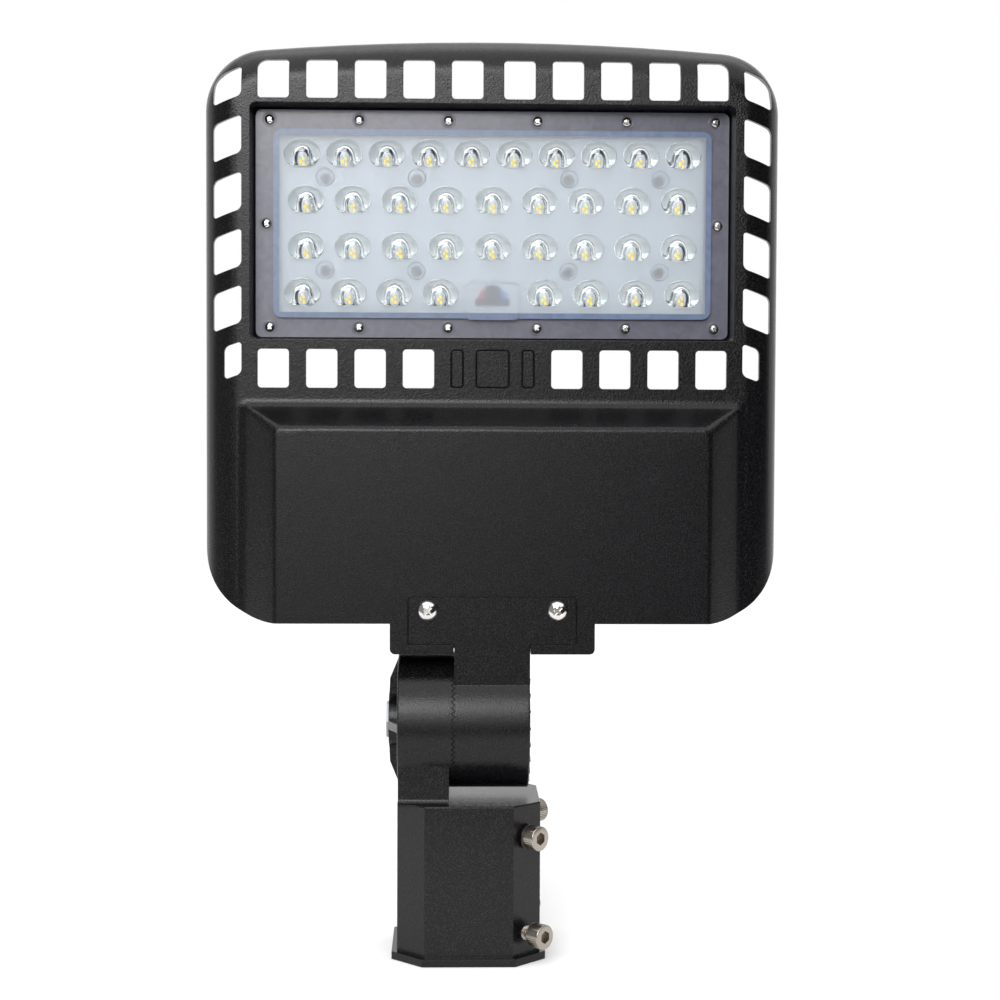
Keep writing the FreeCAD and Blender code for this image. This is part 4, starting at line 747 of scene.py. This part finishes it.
class LIGHT_OT_clamp_screws(bpy.types.Operator):
    """Model the knurled socket-head clamp screws with their threads"""

    bl_idname = "street_light.clamp_screws"
    bl_label = "Clamp screws"

    def execute(self, context):
        colours = context.scene.street_light_colours
        sizes = context.scene.street_light_sizes
        nickel = plated_metal("nickel_plated_steel", colours.nickel, roughness=0.24, mark_mm=0.5)
        pattern = self.model_head(sizes)
        self.join_thread(pattern, sizes)
        bpy.ops.object.shade_smooth_by_angle(angle=math.radians(MOULDED_CREASE))
        dress(pattern, nickel)
        for node in CLAMP_SCREWS:
            low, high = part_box(node)
            middle = (low + high) / 2
            outward = Vector((1, math.copysign(1, middle.y), 0)).normalized()
            head_end = max(vertex.co.dot(outward) for vertex in frame["nodes"][node].data.vertices)
            seat = outward * (head_end - sizes.clamp_head_height) + Vector((0, 0, middle.z))
            turn = outward.to_track_quat("Z", "Y").to_matrix().to_4x4()
            screw = bpy.data.objects.new(node + "_finished", pattern.data.copy())
            context.scene.collection.objects.link(screw)
            screw.matrix_world = Matrix.Translation(seat) @ turn
            activate(screw)
            bpy.ops.object.transform_apply(location=True, rotation=True, scale=True)
            settle(screw, node)
        bpy.data.objects.remove(pattern)
        return {"FINISHED"}

    def model_head(self, sizes):
        """Knurled socket head on the seat at the origin, pointing up +Z."""
        height = sizes.clamp_head_height
        count = 2 * sizes.knurl_count
        step = 2 * math.pi / count
        deselect()
        bpy.ops.mesh.primitive_cylinder_add(vertices=count, radius=sizes.clamp_head, depth=height,
                                            location=(0, 0, height / 2))
        head = bpy.context.object
        bpy.ops.object.transform_apply(location=True)
        select_faces(head, lambda face: face.normal.z > FACING)
        bpy.ops.mesh.bevel(offset=sizes.clamp_head_round, segments=3, affect="EDGES")
        select_faces(head, lambda face: abs(face.normal.z) < EDGE_ON
                     and math.floor(math.atan2(face.center.y, face.center.x) / step) % 2 == 0)
        bpy.ops.mesh.inset(thickness=sizes.knurl_depth / 3, depth=-sizes.knurl_depth, use_individual=True)
        deselect()
        bpy.ops.mesh.primitive_cylinder_add(vertices=6, radius=sizes.clamp_key / math.sqrt(3), depth=height,
                                            location=(0, 0, height))
        key = bpy.context.object
        apply_modifier(head, "BOOLEAN", object=key, operation="DIFFERENCE", solver="EXACT")
        bpy.data.objects.remove(key)
        return head

    def join_thread(self, head, sizes):
        """Thread of crests and roots below the seat, joined to the head."""
        root = 1 - THREAD_DEPTH * sizes.clamp_pitch / sizes.clamp_thread
        half_pitch = sizes.clamp_pitch / 2
        deselect()
        bpy.ops.mesh.primitive_circle_add(vertices=THREAD_SIDES, radius=sizes.clamp_thread * root,
                                          fill_type="NGON", location=(0, 0, half_pitch))
        thread = bpy.context.object
        bpy.ops.object.transform_apply(location=True)
        bpy.ops.object.mode_set(mode="EDIT")
        bpy.ops.mesh.select_all(action="SELECT")
        half_turns = 2 * int(sizes.clamp_length / sizes.clamp_pitch)
        for half_turn in range(half_turns):
            bpy.ops.mesh.extrude_region_move(TRANSFORM_OT_translate={"value": (0, 0, -half_pitch)})
            grow = root if half_turn % 2 else 1 / root
            bpy.ops.transform.resize(value=(grow, grow, 1), center_override=(0, 0, 0))
        bpy.ops.mesh.select_all(action="SELECT")
        bpy.ops.mesh.normals_make_consistent(inside=False)
        bpy.ops.object.mode_set(mode="OBJECT")
        activate(head)
        thread.select_set(True)
        bpy.ops.object.join()


class LIGHT_OT_driver_bay(bpy.types.Operator):
    """Finish the driver, terminal block, grommet and gaskets"""

    bl_idname = "street_light.driver_bay"
    bl_label = "Driver bay"

    def execute(self, context):
        colours = context.scene.street_light_colours
        rubber = moulded("black_rubber", colours.rubber, roughness=0.75, grain_mm=1.0, height_mm=0.04)
        case = plated_metal("drawn_aluminium", colours.driver_case, roughness=0.38, mark_mm=1.5)
        nylon = moulded("white_nylon", colours.terminal, roughness=0.5, grain_mm=0.8, height_mm=0.02)
        for node in ("bracket_gasket", "rear_gasket"):
            dress_node(node, rubber)
        for node, material in (("cable_grommet", rubber), ("led_driver", case), ("supply_terminal", nylon)):
            dress(smooth_copy(node, MOULDED_CREASE), material)
        return {"FINISHED"}


class LIGHT_OT_stage(bpy.types.Operator):
    """Set the pale floor, the soft studio light and the camera"""

    bl_idname = "street_light.stage"
    bl_label = "Stage"

    def execute(self, context):
        scene = context.scene
        scene.view_settings.view_transform = "Standard"
        self.lay_floor(scene)
        self.light_world(scene)
        self.light_lamps(scene)
        self.place_camera(scene)
        return {"FINISHED"}

    def lay_floor(self, scene):
        """Square pale floor, most of it behind the light."""
        colour = scene.street_light_colours.floor
        settings = scene.street_light_studio
        material, tree = new_material("pale_floor")
        shader = add_node(tree, "ShaderNodeBsdfPrincipled", Base_Color=colour, Roughness=0.9,
                          Emission_Color=colour, Emission_Strength=settings.floor_level)
        close_material(tree, shader)
        deselect()
        middle = settings.floor_side / 2 - settings.floor_front
        bpy.ops.mesh.primitive_plane_add(size=settings.floor_side,
                                         location=(0, middle, cad_box[0][2] - FLOOR_GAP))
        floor = bpy.context.object
        floor.name = "floor"
        floor.data.materials.append(material)

    def light_lamps(self, scene):
        """Softbox over the camera, and a wide light from above that is even over the whole floor."""
        settings = scene.street_light_studio
        softbox = bpy.data.lights.new("softbox", "AREA")
        softbox.shape = "RECTANGLE"
        softbox.size = settings.softbox_width
        softbox.size_y = settings.softbox_height
        softbox.energy = settings.softbox_level * math.pi * settings.softbox_width * settings.softbox_height
        overhead = bpy.data.lights.new("overhead", "SUN")
        overhead.energy = settings.overhead_level
        overhead.angle = settings.overhead_spread
        for lamp, side, rise in ((softbox, settings.softbox_side, settings.softbox_rise),
                                 (overhead, settings.overhead_side, settings.overhead_rise)):
            reach = math.cos(rise)
            towards = Vector((reach * math.sin(side), -reach * math.cos(side), math.sin(rise)))
            holder = bpy.data.objects.new(lamp.name, lamp)
            holder.location = towards * settings.softbox_distance + Vector((0, 0, LENS_Z / 2))
            holder.rotation_euler = (-towards).to_track_quat("-Z", "Y").to_euler()
            scene.collection.objects.link(holder)

    def light_world(self, scene):
        """Backdrop behind the light, plain white to camera, mirrors and lenses; a fading card in front."""
        settings = scene.street_light_studio
        world = bpy.data.worlds.new("studio")
        scene.world = world
        world.use_nodes = True
        tree = world.node_tree
        tree.nodes.clear()
        way = add_node(tree, "ShaderNodeTexCoord").outputs["Generated"]
        axes = add_node(tree, "ShaderNodeSeparateXYZ", {"Vector": way}).outputs
        card = self.fade(tree, axes["Z"], CARD_SPAN, settings.card_foot_level, settings.card_level, "LINEAR")
        above = self.fade(tree, axes["Z"], ABOVE_SPAN, card, settings.front_level, "LINEAR")
        front = self.fade(tree, axes["X"], FLAG_SPAN, above, settings.flag_level, "SMOOTHSTEP")
        side = self.fade(tree, axes["X"], SIDE_SPAN, settings.side_level, front, "SMOOTHSTEP")
        level = self.fade(tree, axes["Y"], BACKDROP_SPAN, side, settings.back_level, "SMOOTHSTEP")
        behind = self.fade(tree, axes["Y"], BACKDROP_SPAN, 0, 1, "SMOOTHSTEP")
        rays = add_node(tree, "ShaderNodeLightPath").outputs
        seen = self.combine(tree, "MAXIMUM", rays["Is Camera Ray"], rays["Is Transmission Ray"])
        mirrored = self.combine(tree, "MULTIPLY", rays["Is Glossy Ray"], behind)
        shown = self.combine(tree, "MAXIMUM", seen, mirrored)
        studio = add_node(tree, "ShaderNodeBackground", {"Strength": level}, Color=WHITE)
        backdrop = add_node(tree, "ShaderNodeBackground", Color=WHITE, Strength=1.0)
        mix = add_node(tree, "ShaderNodeMixShader", {"Fac": shown})
        tree.links.new(studio.outputs[0], mix.inputs[1])
        tree.links.new(backdrop.outputs[0], mix.inputs[2])
        add_node(tree, "ShaderNodeOutputWorld", {"Surface": mix.outputs[0]})

    def fade(self, tree, along, span, first, last, shape):
        """Level that goes from first to last over a span; each is a number or a socket."""
        node = add_node(tree, "ShaderNodeMapRange", {"Value": along}, interpolation_type=shape,
                        From_Min=span[0], From_Max=span[1])
        for name, level in (("To Min", first), ("To Max", last)):
            if isinstance(level, bpy.types.NodeSocket):
                tree.links.new(level, node.inputs[name])
            else:
                node.inputs[name].default_value = level
        return node.outputs["Result"]

    def combine(self, tree, operation, first, second):
        """Two sockets joined by one step of arithmetic."""
        step = add_node(tree, "ShaderNodeMath", operation=operation)
        tree.links.new(first, step.inputs[0])
        tree.links.new(second, step.inputs[1])
        return step.outputs[0]

    def place_camera(self, scene):
        """Camera from its place, turned by yaw, pitch and roll."""
        settings = scene.street_light_camera
        right = Vector((math.cos(settings.yaw), math.sin(settings.yaw), 0))
        ahead = Vector((-math.sin(settings.yaw), math.cos(settings.yaw), 0))
        up = Vector((0, 0, 1))
        sight = ahead * math.cos(settings.pitch) - up * math.sin(settings.pitch)
        crown = up * math.cos(settings.pitch) + ahead * math.sin(settings.pitch)
        side = right * math.cos(settings.roll) + crown * math.sin(settings.roll)
        crown = crown * math.cos(settings.roll) - right * math.sin(settings.roll)
        camera_data = bpy.data.cameras.new("photo_camera")
        camera_data.lens = settings.lens
        camera_data.sensor_width = SENSOR_WIDTH
        camera = bpy.data.objects.new("photo_camera", camera_data)
        scene.collection.objects.link(camera)
        turned = Matrix((side, crown, -sight)).transposed().to_4x4()
        camera.matrix_world = Matrix.Translation(settings.place) @ turned
        scene.camera = camera


class LIGHT_PT_panel(bpy.types.Panel):
    """Lists the steps that dress the street light"""

    bl_idname = "LIGHT_PT_panel"
    bl_label = "Street Light"
    bl_space_type = "VIEW_3D"
    bl_region_type = "UI"
    bl_category = "Street Light"

    def draw(self, context):
        for operator in OPERATORS:
            self.layout.operator(operator.bl_idname)


GROUPS = (
    ("street_light_colours", StreetLightColours),
    ("street_light_sizes", StreetLightSizes),
    ("street_light_camera", StreetLightCamera),
    ("street_light_studio", StreetLightStudio),
)
OPERATORS = (
    LIGHT_OT_castings,
    LIGHT_OT_lens_panel,
    LIGHT_OT_led_board,
    LIGHT_OT_fasteners,
    LIGHT_OT_clamp_screws,
    LIGHT_OT_driver_bay,
    LIGHT_OT_stage,
)


def register():
    for name, group in GROUPS:
        bpy.utils.register_class(group)
        setattr(bpy.types.Scene, name, bpy.props.PointerProperty(type=group))
    for operator in OPERATORS:
        bpy.utils.register_class(operator)
    bpy.utils.register_class(LIGHT_PT_panel)


def unregister():
    bpy.utils.unregister_class(LIGHT_PT_panel)
    for operator in reversed(OPERATORS):
        bpy.utils.unregister_class(operator)
    for name, group in reversed(GROUPS):
        delattr(bpy.types.Scene, name)
        bpy.utils.unregister_class(group)


def main():
    register()
    bpy.ops.street_light.castings()
    bpy.ops.street_light.lens_panel()
    bpy.ops.street_light.led_board()
    bpy.ops.street_light.fasteners()
    bpy.ops.street_light.clamp_screws()
    bpy.ops.street_light.driver_bay()
    bpy.ops.street_light.stage()


if __name__ == "__main__":
    main()
